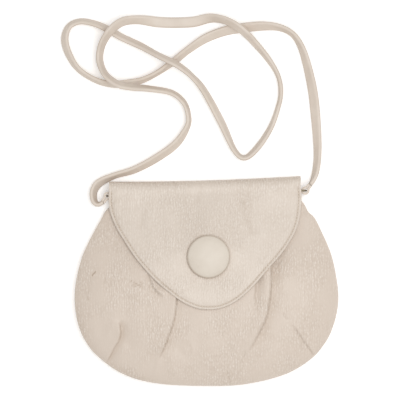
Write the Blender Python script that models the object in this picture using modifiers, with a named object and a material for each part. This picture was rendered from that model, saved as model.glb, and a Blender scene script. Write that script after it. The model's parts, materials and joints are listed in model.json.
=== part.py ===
"""Shoulder bag: a soft pleated pouch with a fold-over flap, a covered button and a thin strap.

Metres, +Z up. The bag lies on its back on z = 0, X runs across it and +Y runs towards the fold,
where the flap turns over. The origin is the middle of the space that the bag covers on the table.
"""
import math

import bmesh
import bpy
import numpy as np
from mathutils import Vector

# Fits
GAP = 0.0003

# Leather and cloth
LEATHER = 0.0016
LINING = 0.0008

# Pouch, seen from the front
FLAP_HALF_WIDTH = 0.0860
BODY_HALF_WIDTH = 0.1180
MOUTH_HALF_WIDTH = 0.0820
FOLD_Y = 0.0918
FOLD_SLOPE = 0.028
BOTTOM_Y = -(FOLD_Y + FOLD_SLOPE * FLAP_HALF_WIDTH)
MOUTH_SETBACK = 0.0180
MOUTH_Y = FOLD_Y - MOUTH_SETBACK
WIDEST_Y = -0.0130
BOTTOM_ROUNDNESS = 2.42
SHOULDER_CURVE = 1.8
SLOPE_START_Y = 0.0350

# Pouch, seen from the side
SEAM_HEIGHT = 0.0100
MOUTH_SEAM_HEIGHT = 0.0052
SEAM_WALL = 0.0014
FRONT_RISE = 0.0220
MOUTH_RISE_SHARE = 0.26
MOUTH_STEP = 0.0030
LINING_EASE = 0.0012
LINING_DART_SHARE = 1.3
LINING_INSET = 0.0060
LINING_WALL = 0.0005
RELIEF_START = 0.0060
FOLD_RADIUS = 0.0085
FOLD_WALL = 0.0014

# Flap
FLAP_SHOULDER_Y = 0.0600
FLAP_TIP_Y = -0.0252
FLAP_SIDE_CURVE = 1.2
FLAP_TIP_CURVE = 1.7
FLAP_CLEARANCE = 0.0018

# Pleats, as shares of the half width at the mouth and their sideways run down to the bottom
LEFT_PLEAT = (-0.123, -0.363)
RIGHT_PLEAT = (0.520, -0.220)
PLEAT_LIFT = 0.0022
PLEAT_TUCK = 0.0012
PLEAT_SPREAD = 0.0110
PLEAT_EDGE = 0.0040
STRIP_WIDTH = 0.0140

# Darts at the two lower corners: from the seam to the point
LEFT_DART = (Vector((-0.0884, -0.0710)), Vector((-0.0785, -0.0400)))
RIGHT_DART = (Vector((0.0944, -0.0637)), Vector((0.0776, -0.0397)))
DART_DEPTH = 0.0016
DART_WIDTH = 0.0045

# Covered button
BUTTON_X = 0.0018
BUTTON_Y = 0.0219
BUTTON_RADIUS = 0.0190
BUTTON_HEIGHT = 0.0068
BUTTON_SHOULDER = 0.0022
COVER = 0.0012
CAP_WALL = 0.0006
BACK_PLATE = 0.0008
COVER_LIP = 0.0040

# Magnetic snap under the button
SNAP_RADIUS = 0.0090
SOCKET_THICKNESS = 0.0022
SOCKET_RECESS = 0.0013
STUD_FLANGE = 0.0009
STUD_PIN_RADIUS = 0.0024
STUD_PIN_LENGTH = 0.0010
STUD_PLAY = 0.0010
WASHER_RADIUS = 0.0075
WASHER = 0.0005

# Strap rings, tabs and eyes
RING_RADIUS = 0.0046
RING_WIRE = 0.0016
RING_X = 0.0845
RING_SETBACK = 0.0134
RING_Z = 0.0076
EYE_HEIGHT = 0.0064
EYE_WALL = 0.0016
EYE_PLAY = 0.0007
EYE_TAIL = 0.0030
TAB_TAIL = 0.0080
RING_SAG = RING_RADIUS - math.sqrt(RING_RADIUS**2 - (EYE_HEIGHT / 2) ** 2)
EYE_HOLE = (RING_WIRE + RING_SAG) / 2 + EYE_PLAY
LEFT_EYE_ANGLE = 215.0
RIGHT_EYE_ANGLE = 45.0
HOLE_SIDES = 16

# Strap, laid loose behind the bag; its points run from the left eye to the right one
STRAP_DIAMETER = 0.0050
STRAP_POINTS = 80
TIGHT_START = (0.030, 0.075)
TIGHT_END = (0.020, 0.050)
STRAP_ROUTE_MM = (
    (-94.4, 71.9, 7.6), (-97.8, 69.5, 7.6), (-101.8, 70.4, 7.2), (-103.6, 75.4, 6.6),
    (-102.2, 82.4, 5.8), (-96.6, 88.8, 5.0),
    (-83.2, 94.9, 3.6), (-64.4, 100.6, 2.8), (-44.4, 112.4, 2.6), (-27.4, 124.4, 2.6),
    (-17.5, 138.8, 2.7), (-16.3, 148.6, 2.8), (-20.4, 160.0, 2.8), (-31.5, 168.6, 2.7),
    (-51.3, 172.0, 3.4), (-68.0, 173.4, 7.0), (-80.0, 176.4, 8.6), (-90.5, 184.8, 6.0),
    (-95.6, 197.0, 2.9), (-95.0, 209.2, 2.8), (-90.5, 219.0, 6.4), (-84.1, 226.6, 8.6),
    (-74.0, 232.6, 5.4), (-60.0, 234.4, 2.6), (-43.5, 232.2, 2.6), (-27.4, 231.4, 2.6),
    (-11.2, 232.6, 2.6), (3.0, 235.4, 2.9), (15.5, 233.8, 5.4), (26.5, 228.4, 8.6),
    (35.0, 221.6, 6.4), (44.5, 212.8, 2.8), (56.0, 198.6, 2.6), (64.2, 183.6, 2.6),
    (66.6, 169.0, 2.7), (64.0, 155.0, 2.7), (56.4, 137.6, 2.7), (45.6, 120.0, 2.7),
    (34.5, 110.6, 2.7), (25.6, 117.2, 2.7), (13.0, 141.5, 2.7), (-2.2, 169.9, 2.8),
    (-12.6, 183.4, 3.6), (-22.6, 191.0, 7.0), (-31.0, 196.2, 8.6), (-44.0, 202.6, 6.4),
    (-59.3, 210.6, 2.8), (-75.3, 218.6, 2.6), (-87.0, 225.2, 2.6), (-100.0, 231.0, 2.7),
    (-113.6, 232.6, 2.7), (-123.6, 227.4, 2.7), (-127.0, 215.6, 2.7), (-123.2, 201.2, 2.7),
    (-113.8, 188.8, 2.7), (-98.0, 179.2, 2.7), (-83.3, 176.4, 2.6), (-70.0, 177.4, 2.6),
    (-57.0, 180.6, 2.6), (-43.0, 187.6, 2.6), (-28.3, 198.0, 2.6), (-17.0, 207.6, 2.6),
    (-2.0, 218.0, 2.6), (14.8, 224.4, 2.6), (31.0, 227.0, 2.6), (49.0, 228.6, 2.6),
    (64.0, 227.8, 2.6), (76.4, 222.4, 2.6), (84.4, 212.6, 2.6), (90.0, 196.4, 2.6),
    (95.0, 173.0, 2.6), (98.0, 153.0, 2.6), (99.7, 126.0, 2.7), (100.4, 111.0, 3.2),
    (99.8, 101.0, 4.6), (98.9, 93.4, 6.6), (96.5, 88.8, 7.5), (93.6, 85.9, 7.6),
)

# Grid of the moulded sheets
FRONT_COLUMNS = 22
FRONT_ROWS = 18
PLEAT_COLUMNS = (-0.050, -0.020, 0.0, 0.026, 0.060)
BACK_COLUMNS = 14
BACK_ROWS = 11
LINING_COLUMNS = 12
LINING_ROWS = 9
FLAP_COLUMNS = 18
FLAP_ROWS = 12
FOLD_STEPS = 4
ROUND_SIDES = 24

BONE = (0.70, 0.60, 0.50)
PALE_BONE = (0.76, 0.66, 0.56)
LINING_BEIGE = (0.42, 0.33, 0.25)
OLD_BRASS = (0.35, 0.25, 0.12)
STEEL = (0.55, 0.54, 0.52)


def smooth(value):
    """Eased step from 0 to 1."""
    t = min(1.0, max(0.0, value))
    return t * t * (3.0 - 2.0 * t)


def blend(first, second, share):
    """Value between two others."""
    return first + (second - first) * share


def lean(x, y):
    """Y with the slope that the fold and the mouth have in this bag."""
    return y + FOLD_SLOPE * x * smooth((y - SLOPE_START_Y) / (MOUTH_Y - SLOPE_START_Y))


def half_width(y):
    """Half the pouch's width at a height on it."""
    if y >= WIDEST_Y:
        rise = (y - WIDEST_Y) / (MOUTH_Y - WIDEST_Y)
        return BODY_HALF_WIDTH - (BODY_HALF_WIDTH - MOUTH_HALF_WIDTH) * rise**SHOULDER_CURVE
    drop = min(1.0, (WIDEST_Y - y) / (WIDEST_Y - BOTTOM_Y))
    return BODY_HALF_WIDTH * (1.0 - drop**BOTTOM_ROUNDNESS) ** (1.0 / BOTTOM_ROUNDNESS)


def body_edge(s):
    """Point of the pouch's outline: s is 0 at the mouth's corner and 1 at the bottom."""
    shoulder = 0.36
    if s <= shoulder:
        y = blend(MOUTH_Y, WIDEST_Y, s / shoulder)
        return Vector((half_width(y), y))
    angle = (s - shoulder) / (1.0 - shoulder) * math.pi / 2.0
    power = 2.0 / BOTTOM_ROUNDNESS
    x = BODY_HALF_WIDTH * max(0.0, math.cos(angle)) ** power
    return Vector((x, WIDEST_Y - (WIDEST_Y - BOTTOM_Y) * math.sin(angle) ** power))


def flap_edge(s):
    """Point of the flap's outline: s is 0 at the fold and 1 at the tip."""
    straight = 0.18
    top = FOLD_Y - FOLD_RADIUS
    if s <= straight:
        return Vector((FLAP_HALF_WIDTH, blend(top, FLAP_SHOULDER_Y, s / straight)))
    angle = (s - straight) / (1.0 - straight) * math.pi / 2.0
    x = FLAP_HALF_WIDTH * max(0.0, math.cos(angle)) ** (2.0 / FLAP_TIP_CURVE)
    drop = math.sin(angle) ** (2.0 / FLAP_SIDE_CURVE)
    return Vector((x, blend(FLAP_SHOULDER_Y, FLAP_TIP_Y, drop)))


def patch(edge, corner, u, v):
    """Place on a sheet bounded by an outline and its mirror image, with no pole in it.

    u runs from -1 to 1 across and v from 0 at the top edge to 1 at the bottom.
    """
    def side(s, sign):
        point = edge(s)
        return Vector((point.x * sign, point.y))

    across = (u + 1.0) / 2.0
    sign = -1.0 if u < 0.0 else 1.0
    top = Vector((edge(0.0).x * u, edge(0.0).y))
    bottom = side(1.0 - abs(u) * (1.0 - corner), sign)
    left, right = side(v * corner, -1.0), side(v * corner, 1.0)
    ends = [side(0.0, -1.0), side(0.0, 1.0), side(corner, -1.0), side(corner, 1.0)]
    straight = (ends[0].lerp(ends[1], across)).lerp(ends[2].lerp(ends[3], across), v)
    return top.lerp(bottom, v) + left.lerp(right, across) - straight


def fullness(x, y, side_power, side_root, end_power):
    """How far a padded shape has risen at a place: 0 at its outline, 1 in its middle."""
    across = min(1.0, abs(x) / max(half_width(y), 1e-6))
    down = min(1.0, max(0.0, (MOUTH_Y - y) / (MOUTH_Y - BOTTOM_Y)))
    return (1.0 - across**side_power) ** side_root * (1.0 - down**end_power) ** side_root


def seam_height(y):
    """Height of the seam that joins the front to the back."""
    return blend(SEAM_HEIGHT, MOUTH_SEAM_HEIGHT, smooth((y - WIDEST_Y) / (MOUTH_Y - WIDEST_Y)))


def near_snap(x, y, flat, reach):
    """1 where a sheet is held flat at the magnetic snap, and 0 away from it."""
    distance = math.hypot(x - BUTTON_X, y - BUTTON_Y)
    return 1.0 - smooth((distance - flat) / (reach - flat))


def front_height(x, y):
    """Height of the front panel's outer skin, without its pleats."""
    opening = blend(MOUTH_RISE_SHARE, 1.0, smooth((MOUTH_Y - y) / (MOUTH_Y - WIDEST_Y)))
    rise = FRONT_RISE * opening * fullness(x, y, 2.4, 0.55, 3.2)
    return seam_height(y) + GAP / 2 + SEAM_WALL + rise


SNAP_Z = front_height(BUTTON_X, BUTTON_Y)
STUD_Z = SNAP_Z + GAP + SOCKET_THICKNESS + GAP
FLAP_LINING_SNAP_Z = STUD_Z + STUD_FLANGE + GAP
WASHER_Z = FLAP_LINING_SNAP_Z + LINING + GAP
FLAP_SNAP_TOP = WASHER_Z + WASHER + GAP + LEATHER
FLAP_LINING_DROP = LEATHER + GAP + WASHER + GAP


def flap_height(x, y):
    """Height of the flap's outer skin."""
    lying = front_height(x, y) + FLAP_CLEARANCE + LINING + FLAP_LINING_DROP
    to_fold = smooth((y - (MOUTH_Y - MOUTH_SETBACK)) / MOUTH_SETBACK)
    held = near_snap(x, y, 1.25 * BUTTON_RADIUS, 2.4 * BUTTON_RADIUS)
    return blend(blend(lying, 2.0 * FOLD_RADIUS, to_fold), FLAP_SNAP_TOP, held)


def back_height(x, y):
    """Height of the back panel's outer skin: flat on the table, turned up along the seam."""
    flat_share = 0.06
    rim = 1.0 - fullness(x, y, 8.0, 0.5, 8.0)
    share = max(0.0, (rim - flat_share) / (1.0 - flat_share))
    return (seam_height(y) - GAP / 2 - SEAM_WALL) * share


def pleat_places(v):
    """Where the two pleats run at v, as shares of the half width."""
    return [start + run * v * v for start, run in (LEFT_PLEAT, RIGHT_PLEAT)]


def follow_pleats(c, v):
    """Slides a column of the front panel's grid so that the columns run along the pleats."""
    homes = [pleat_places(0.6)[0], pleat_places(0.6)[1]]
    return float(np.interp(c, [-1.0, *homes, 1.0], [-1.0, *pleat_places(v), 1.0]))


def pleat_relief(distance, strip):
    """Height of a pleat: it lies over to the right, and is tucked under past its edge."""
    if distance <= 0.0:
        spread = strip if strip else PLEAT_SPREAD
        return PLEAT_LIFT * math.exp(-((distance / spread) ** 4 if strip else (distance / spread) ** 2))
    fall = blend(PLEAT_LIFT, -PLEAT_TUCK, smooth(distance / PLEAT_EDGE))
    return fall * math.exp(-((max(0.0, distance - PLEAT_EDGE) / PLEAT_SPREAD) ** 2))


def dart_relief(x, y, start, point):
    """Depth of the groove that a sewn dart draws in."""
    line = point - start
    along = (Vector((x, y)) - start).dot(line) / line.length_squared
    nearest = start + line * min(1.0, max(0.0, along))
    distance = (Vector((x, y)) - nearest).length
    return -DART_DEPTH * math.exp(-((distance / DART_WIDTH) ** 2))


def both_darts(x, y):
    """Depth of the two darts' grooves at one place."""
    return dart_relief(x, y, *LEFT_DART) + dart_relief(x, y, *RIGHT_DART)


def front_relief(u, v, x, y):
    """Pleats and darts of the front panel at one place."""
    shown = 0.1 + 0.9 * smooth((v - 0.40) / 0.16)
    shown *= 1.0 - smooth((v - 0.76) / 0.20)
    height = 0.0
    for place, strip in zip(pleat_places(v), (0.0, STRIP_WIDTH)):
        edge = patch(body_edge, BODY_CORNER, place, v)
        height += shown * pleat_relief(x - edge.x, strip * (1.0 - v) * 1.6)
    height *= 1.0 - near_snap(x, y, BUTTON_RADIUS, 1.8 * BUTTON_RADIUS)
    return height + both_darts(x, y)


BODY_CORNER = 0.68
FLAP_CORNER = 0.68


def shares(count, crowding=0.8):
    """Shares from -1 to 1, closer together towards both ends."""
    top = math.sin(math.pi / 2 * crowding)
    return [math.sin(math.pi / 2 * crowding * (2 * i / count - 1)) / top for i in range(count + 1)]


def front_columns():
    """Columns of the front panel's grid, with extra ones beside each pleat."""
    homes = pleat_places(0.6)
    extra = [home + step for home in homes for step in PLEAT_COLUMNS]
    plain = [c for c in shares(FRONT_COLUMNS) if min(abs(c - e) for e in extra) > 0.018]
    return sorted(plain + extra)


def material(name, colour, roughness, metallic=0.0):
    """Principled material of one piece."""
    made = bpy.data.materials.new(name)
    made.use_nodes = True
    shader = made.node_tree.nodes["Principled BSDF"]
    shader.inputs["Base Color"].default_value = (*colour, 1.0)
    shader.inputs["Roughness"].default_value = roughness
    shader.inputs["Metallic"].default_value = metallic
    return made


def place(name, mesh, finish, parent, location=(0.0, 0.0, 0.0)):
    """Puts a mesh in the bag's collection as a named piece."""
    piece = bpy.data.objects.new(name, mesh)
    mesh.materials.append(material(name, *finish))
    bag.objects.link(piece)
    piece.parent = parent
    piece.location = Vector(location) - (parent.location if parent else Vector())
    return piece


def sheet_mesh(name, rows, outward):
    """Open surface through rows of points, facing the given way in Z.

    A loft: the front, back and flap change their outline from row to row.
    """
    made = bmesh.new()
    grid = [[made.verts.new(point) for point in row] for row in rows]
    for upper, lower in zip(grid, grid[1:]):
        for i in range(len(upper) - 1):
            made.faces.new((upper[i], lower[i], lower[i + 1], upper[i + 1]))
    bmesh.ops.remove_doubles(made, verts=made.verts, dist=1e-6)
    made.normal_update()
    if sum(face.normal.z * face.calc_area() for face in made.faces) * outward < 0.0:
        bmesh.ops.reverse_faces(made, faces=made.faces)
    mesh = bpy.data.meshes.new(name)
    made.to_mesh(mesh)
    made.free()
    mesh.shade_smooth()
    return mesh


def inner_mesh(name, source, depth, keep=None):
    """Copy of a sheet's surface moved inwards along its normals, for a layer under it."""
    made = bmesh.new()
    made.from_mesh(source)
    made.normal_update()
    moved = [vert.co - vert.normal * depth for vert in made.verts]
    for vert, place_now in zip(made.verts, moved):
        vert.co = place_now
    if keep:
        spare = [vert for vert in made.verts if not keep(vert.co)]
        bmesh.ops.delete(made, geom=spare, context="VERTS")
    mesh = bpy.data.meshes.new(name)
    made.to_mesh(mesh)
    made.free()
    mesh.shade_smooth()
    return mesh


def thicken(piece, thickness):
    """Gives an open surface its thickness, inwards from its outer skin."""
    solid = piece.modifiers.new("thickness", "SOLIDIFY")
    solid.thickness = thickness
    solid.offset = -1.0


def turned(name, profile, finish, parent, location, sides=ROUND_SIDES):
    """Turned piece: a profile of (radius, height) points spun about Z, outer side downwards."""
    mesh = bpy.data.meshes.new(name)
    points = [(radius, 0.0, height) for radius, height in profile]
    closed = profile[0][0] > 0.0
    edges = [(i, i + 1) for i in range(len(points) - 1)]
    if closed:
        edges.append((len(points) - 1, 0))
    mesh.from_pydata(points, edges, [])
    piece = place(name, mesh, finish, parent, location)
    spin = piece.modifiers.new("turning", "SCREW")
    spin.steps = spin.render_steps = sides
    spin.use_merge_vertices = True
    spin.merge_threshold = 0.00001
    return piece


def straight(c, _v):
    """Leaves a column of a grid where it is."""
    return c


def pouch_rows(columns, row_count, seam_gap, height, warp=straight, inset=0.0):
    """Rows of a panel of the pouch, with a short upright wall down to its seam."""
    narrower = 1.0 - inset / MOUTH_HALF_WIDTH
    places = [0.5 * (share + 1.0) for share in shares(row_count, 0.6)]
    rows = []
    for v in [*places, 1.0]:
        row = []
        seam_row = len(rows) == len(places)
        for i, c in enumerate([-1.0, *columns, 1.0]):
            u = warp(c, v)
            at = patch(body_edge, BODY_CORNER, u, v)
            at = Vector((at.x * narrower, MOUTH_Y - (MOUTH_Y - at.y) * narrower))
            on_seam = seam_row or i in (0, len(columns) + 1)
            z = seam_height(at.y) + seam_gap if on_seam else height(u, v, at.x, at.y)
            row.append((at.x, lean(at.x, at.y), z))
        rows.append(row)
    return rows


def build_front(root):
    """Front panel with its pleats and darts."""
    columns = front_columns()

    def skin(u, v, x, y):
        z = front_height(x, y)
        z += front_relief(u, v, x, y) * smooth((z - seam_height(y)) / RELIEF_START)
        return blend(z, SNAP_Z, near_snap(x, y, BUTTON_RADIUS, 2.0 * BUTTON_RADIUS))

    mesh = sheet_mesh("front_panel", pouch_rows(columns, FRONT_ROWS, GAP / 2, skin, follow_pleats), 1.0)
    thicken(place(mesh.name, mesh, (BONE, 0.5), root), LEATHER)


def build_lining(root):
    """Two halves of the cloth lining, which hang just inside the leather."""
    def front_skin(_u, _v, x, y):
        near = near_snap(x, y, BUTTON_RADIUS, 2.0 * BUTTON_RADIUS)
        leather = blend(front_height(x, y), SNAP_Z, near) - PLEAT_TUCK * fullness(x, y, 2.4, 0.55, 3.2)
        under = leather + LINING_DART_SHARE * both_darts(x, y) - LEATHER - LINING_EASE
        return max(seam_height(y) + LINING_WALL, under)

    def back_skin(_u, _v, x, y):
        return min(seam_height(y) - LINING_WALL, back_height(x, y) + LEATHER + LINING_EASE)

    for name, gap, skin, outward in (
        ("lining_front", GAP / 2, front_skin, 1.0), ("lining_back", -GAP / 2, back_skin, -1.0),
    ):
        rows = pouch_rows(shares(LINING_COLUMNS), LINING_ROWS, gap, skin, inset=LINING_INSET)
        mesh = sheet_mesh(name, rows, outward)
        thicken(place(name, mesh, (LINING_BEIGE, 0.85), root), LINING)


def fold_profile():
    """Half of the round fold, as Y and the distance in Z from the fold's outermost line."""
    profile = [(FOLD_Y, GAP / 2)]
    for step in range(FOLD_STEPS + 1):
        angle = math.pi / 2 * step / FOLD_STEPS
        rise = FOLD_WALL + (FOLD_RADIUS - FOLD_WALL) * math.sin(angle)
        profile.append((FOLD_Y - FOLD_RADIUS * (1.0 - math.cos(angle)), rise))
    return profile


def build_back(root):
    """Back panel, which turns up at the fold."""
    columns = shares(BACK_COLUMNS)
    rows = []
    for y, rise in fold_profile():
        ends = [-1.0, *columns, 1.0]
        rows.append([(c * FLAP_HALF_WIDTH, lean(c * FLAP_HALF_WIDTH, y), FOLD_RADIUS - rise) for c in ends])

    def skin(_u, _v, x, y):
        return back_height(x, y)

    strip_y = MOUTH_Y + MOUTH_STEP
    width = blend(MOUTH_HALF_WIDTH, FLAP_HALF_WIDTH, MOUTH_STEP / (MOUTH_SETBACK - FOLD_RADIUS))
    rows.append([(c * width, lean(c * width, strip_y), 0.0) for c in [-1.0, *columns, 1.0]])
    rows += pouch_rows(columns, BACK_ROWS, -GAP / 2, skin)
    mesh = sheet_mesh("back_panel", rows, -1.0)
    thicken(place(mesh.name, mesh, (BONE, 0.5), root), LEATHER)


def build_flap(hinge):
    """Flap with its half of the fold, and the lining under it."""
    columns = shares(FLAP_COLUMNS)
    rows = []
    for y, rise in fold_profile()[:-1]:
        rows.append([(c * FLAP_HALF_WIDTH, lean(c * FLAP_HALF_WIDTH, y), FOLD_RADIUS + rise) for c in columns])
    for v in [0.5 * (share + 1.0) for share in shares(FLAP_ROWS, 0.5)]:
        row = []
        for c in columns:
            at = patch(flap_edge, FLAP_CORNER, c, v)
            row.append((at.x, lean(at.x, at.y), flap_height(at.x, at.y)))
        rows.append(row)
    rows = [[Vector(point) - hinge.location for point in row] for row in rows]
    mesh = sheet_mesh("flap_leather", rows, 1.0)
    lining = inner_mesh("flap_lining", mesh, FLAP_LINING_DROP, lambda co: co.y < -FOLD_RADIUS)
    for made, finish, thickness in ((mesh, (PALE_BONE, 0.5), LEATHER), (lining, (BONE, 0.6), LINING)):
        thicken(place(made.name, made, finish, hinge, hinge.location), thickness)


def dome(radius, shoulder, height, steps=6):
    """Outer profile of a low dome on a short upright shoulder, from its top down."""
    rise = height - shoulder
    angles = [math.pi / 2 * i / steps for i in range(steps + 1)]
    return [(radius * math.sin(a), shoulder + rise * math.cos(a)) for a in angles]


def build_button(hinge):
    """Covered button: leather drawn over a metal cap and closed by a back plate."""
    base = FLAP_SNAP_TOP + GAP
    inner_radius = BUTTON_RADIUS - COVER
    outer = dome(BUTTON_RADIUS, BUTTON_SHOULDER, BUTTON_HEIGHT)
    inner = dome(inner_radius, BUTTON_SHOULDER, BUTTON_HEIGHT - COVER)
    foot = [(BUTTON_RADIUS, 0.0), (BUTTON_RADIUS - COVER_LIP, 0.0)]
    lip = [(BUTTON_RADIUS - COVER_LIP, COVER), (inner_radius, COVER)]
    place_at = (BUTTON_X, BUTTON_Y, base)
    turned("button_cover", outer + foot + lip + inner[::-1], (PALE_BONE, 0.45), hinge, place_at)
    cap_radius, cap_height = inner_radius - GAP, BUTTON_HEIGHT - COVER - GAP
    cap = dome(cap_radius, BUTTON_SHOULDER, cap_height)
    hollow = dome(cap_radius - CAP_WALL, BUTTON_SHOULDER, cap_height - CAP_WALL)
    foot = [(cap_radius, COVER + GAP), (cap_radius - CAP_WALL, COVER + GAP)]
    turned("button_cap", cap + foot + hollow[::-1], (STEEL, 0.4, 1.0), hinge, place_at)
    plate_radius = BUTTON_RADIUS - COVER_LIP - GAP
    plate = [(0.0, BACK_PLATE), (plate_radius, BACK_PLATE), (plate_radius, 0.0), (0.0, 0.0)]
    turned("button_back_plate", plate, (STEEL, 0.4, 1.0), hinge, place_at)


def build_snap(root, hinge):
    """Magnetic snap: its socket on the front panel and its stud under the flap."""
    recess = STUD_PIN_RADIUS + STUD_PLAY
    socket = [
        (recess, SOCKET_THICKNESS), (SNAP_RADIUS, SOCKET_THICKNESS), (SNAP_RADIUS, 0.0), (0.0, 0.0),
    ]
    floor = [(0.0, SOCKET_THICKNESS - SOCKET_RECESS), (recess, SOCKET_THICKNESS - SOCKET_RECESS)]
    turned("snap_socket", floor + socket, (OLD_BRASS, 0.35, 1.0), root, (BUTTON_X, BUTTON_Y, SNAP_Z + GAP))
    stud = [(0.0, STUD_FLANGE), (SNAP_RADIUS, STUD_FLANGE), (SNAP_RADIUS, 0.0), (STUD_PIN_RADIUS, 0.0)]
    pin = [(STUD_PIN_RADIUS, -STUD_PIN_LENGTH), (0.0, -STUD_PIN_LENGTH)]
    turned("snap_stud", stud + pin, (OLD_BRASS, 0.35, 1.0), hinge, (BUTTON_X, BUTTON_Y, STUD_Z))
    washer = [(0.0, WASHER), (WASHER_RADIUS, WASHER), (WASHER_RADIUS, 0.0), (0.0, 0.0)]
    turned("snap_washer", washer, (STEEL, 0.4, 1.0), hinge, (BUTTON_X, BUTTON_Y, WASHER_Z))


def loop_outline(hole, tail):
    """Outline of a folded strip seen on edge: a loop and its doubled tail along +X."""
    steps, opening = 12, 30.0
    sweep = 360.0 - 2.0 * opening
    angles = [math.radians(opening + sweep * i / steps) for i in range(steps + 1)]
    around = [(math.cos(a) * (hole + EYE_WALL), math.sin(a) * (hole + EYE_WALL)) for a in angles]
    reach, half = hole + EYE_WALL + tail, EYE_WALL + GAP / 2
    foot = hole + EYE_WALL
    return [*around, (foot, -half), (reach, -half), (reach, half), (foot, half)]


def build_loop(name, centre, angle, tail, root):
    """Leather loop around one side of a ring, its hole upright and its tail at an angle."""
    curve = bpy.data.curves.new(name, "CURVE")
    curve.dimensions = "2D"
    curve.fill_mode = "BOTH"
    curve.extrude = EYE_HEIGHT / 2
    turns = [2 * math.pi * i / HOLE_SIDES for i in range(HOLE_SIDES)]
    hole = [(math.cos(a) * EYE_HOLE, math.sin(a) * EYE_HOLE) for a in turns]
    for outline in (loop_outline(EYE_HOLE, tail), hole):
        spline = curve.splines.new("POLY")
        spline.points.add(len(outline) - 1)
        for point, (x, y) in zip(spline.points, outline):
            point.co = (x, y, 0.0, 1.0)
        spline.use_cyclic_u = True
    curve.materials.append(material(name, BONE, 0.5))
    loop = bpy.data.objects.new(name, curve)
    bag.objects.link(loop)
    loop.parent = root
    loop.location = centre
    loop.rotation_euler.z = math.radians(angle)


def build_strap_end(label, sign, eye_angle, root):
    """Ring at one end of the strap, the tab that holds it and the strap's sewn eye."""
    x = sign * RING_X
    y = lean(x, FOLD_Y - RING_SETBACK)
    pivot = bpy.data.objects.new(f"ring_{label}_axis", None)
    pivot.location = (x, y, RING_Z)
    bag.objects.link(pivot)
    bpy.ops.mesh.primitive_torus_add(
        major_radius=RING_RADIUS, minor_radius=RING_WIRE / 2, major_segments=24, minor_segments=6,
        location=(0.0, 0.0, 0.0), rotation=(math.pi / 2, 0.0, 0.0),
    )
    ring = bpy.context.object
    ring.name = ring.data.name = f"ring_{label}"
    ring.data.materials.append(material(ring.name, OLD_BRASS, 0.35, 1.0))
    for holder in ring.users_collection:
        holder.objects.unlink(ring)
    bag.objects.link(ring)
    ring.parent = pivot
    wire_side = RING_RADIUS - RING_SAG / 2
    build_loop(f"strap_eye_{label}", (x + sign * wire_side, y, RING_Z), eye_angle, EYE_TAIL, root)
    tab_angle = 90.0 + 90.0 * sign
    build_loop(f"side_tab_{label}", (x - sign * wire_side, y, RING_Z), tab_angle, TAB_TAIL, root)


def build_strap(root):
    """Strap as a plain cord along its whole length, on a smooth curve through its route."""
    route = [Vector(point) * 0.001 for point in STRAP_ROUTE_MM]
    padded = [route[0] * 2 - route[1], *route, route[-1] * 2 - route[-2]]
    fine = []
    for a, b, c, d in zip(padded, padded[1:], padded[2:], padded[3:]):
        for i in range(8):
            t = i / 8
            fine.append(0.5 * (2 * b + (c - a) * t + (2 * a - 5 * b + 4 * c - d) * t**2
                               + (3 * b - a - 3 * c + d) * t**3))
    fine.append(route[-1])
    lengths = np.cumsum([0.0] + [(q - p).length for p, q in zip(fine, fine[1:])])
    length = lengths[-1]
    places = [0.0, TIGHT_START[0], length - TIGHT_END[0], length]
    spread = [0.0, TIGHT_START[1], 1.0 - TIGHT_END[1], 1.0]
    stations = np.interp(np.linspace(0.0, 1.0, STRAP_POINTS), spread, places)
    points = [[float(np.interp(s, lengths, [p[axis] for p in fine])) for axis in range(3)] for s in stations]
    curve = bpy.data.curves.new("strap", "CURVE")
    curve.dimensions = "3D"
    curve.bevel_depth = STRAP_DIAMETER / 2
    curve.bevel_resolution = 2
    curve.use_fill_caps = True
    spline = curve.splines.new("POLY")
    spline.points.add(len(points) - 1)
    for point, co in zip(spline.points, points):
        point.co = (*co, 1.0)
    curve.materials.append(material("strap", BONE, 0.5))
    strap = bpy.data.objects.new("strap", curve)
    bag.objects.link(strap)
    strap.parent = root


def main():
    """Builds the whole bag."""
    root = bpy.data.objects.new("pouch", None)
    hinge = bpy.data.objects.new("flap_axis", None)
    hinge.location = (0.0, FOLD_Y, FOLD_RADIUS)
    for empty in (root, hinge):
        bag.objects.link(empty)
    build_back(root)
    build_front(root)
    build_lining(root)
    build_flap(hinge)
    build_snap(root, hinge)
    build_button(hinge)
    build_strap_end("left", -1.0, LEFT_EYE_ANGLE, root)
    build_strap_end("right", 1.0, RIGHT_EYE_ANGLE, root)
    build_strap(root)


for old in list(bpy.data.objects):
    bpy.data.objects.remove(old)
bag = bpy.data.collections.new("shoulder_bag")
bpy.context.scene.collection.children.link(bag)
main()
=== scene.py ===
"""A cream leather shoulder bag, dressed over its frame.

Metres, +Z up. The bag lies on its back, X runs across it and +Y runs towards the fold.
"""
from __future__ import annotations

import json
import logging
import math
from dataclasses import dataclass
from enum import Enum
from typing import Callable, Iterable

import bmesh
import bpy
import numpy as np
from mathutils import Matrix, Vector

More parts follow.
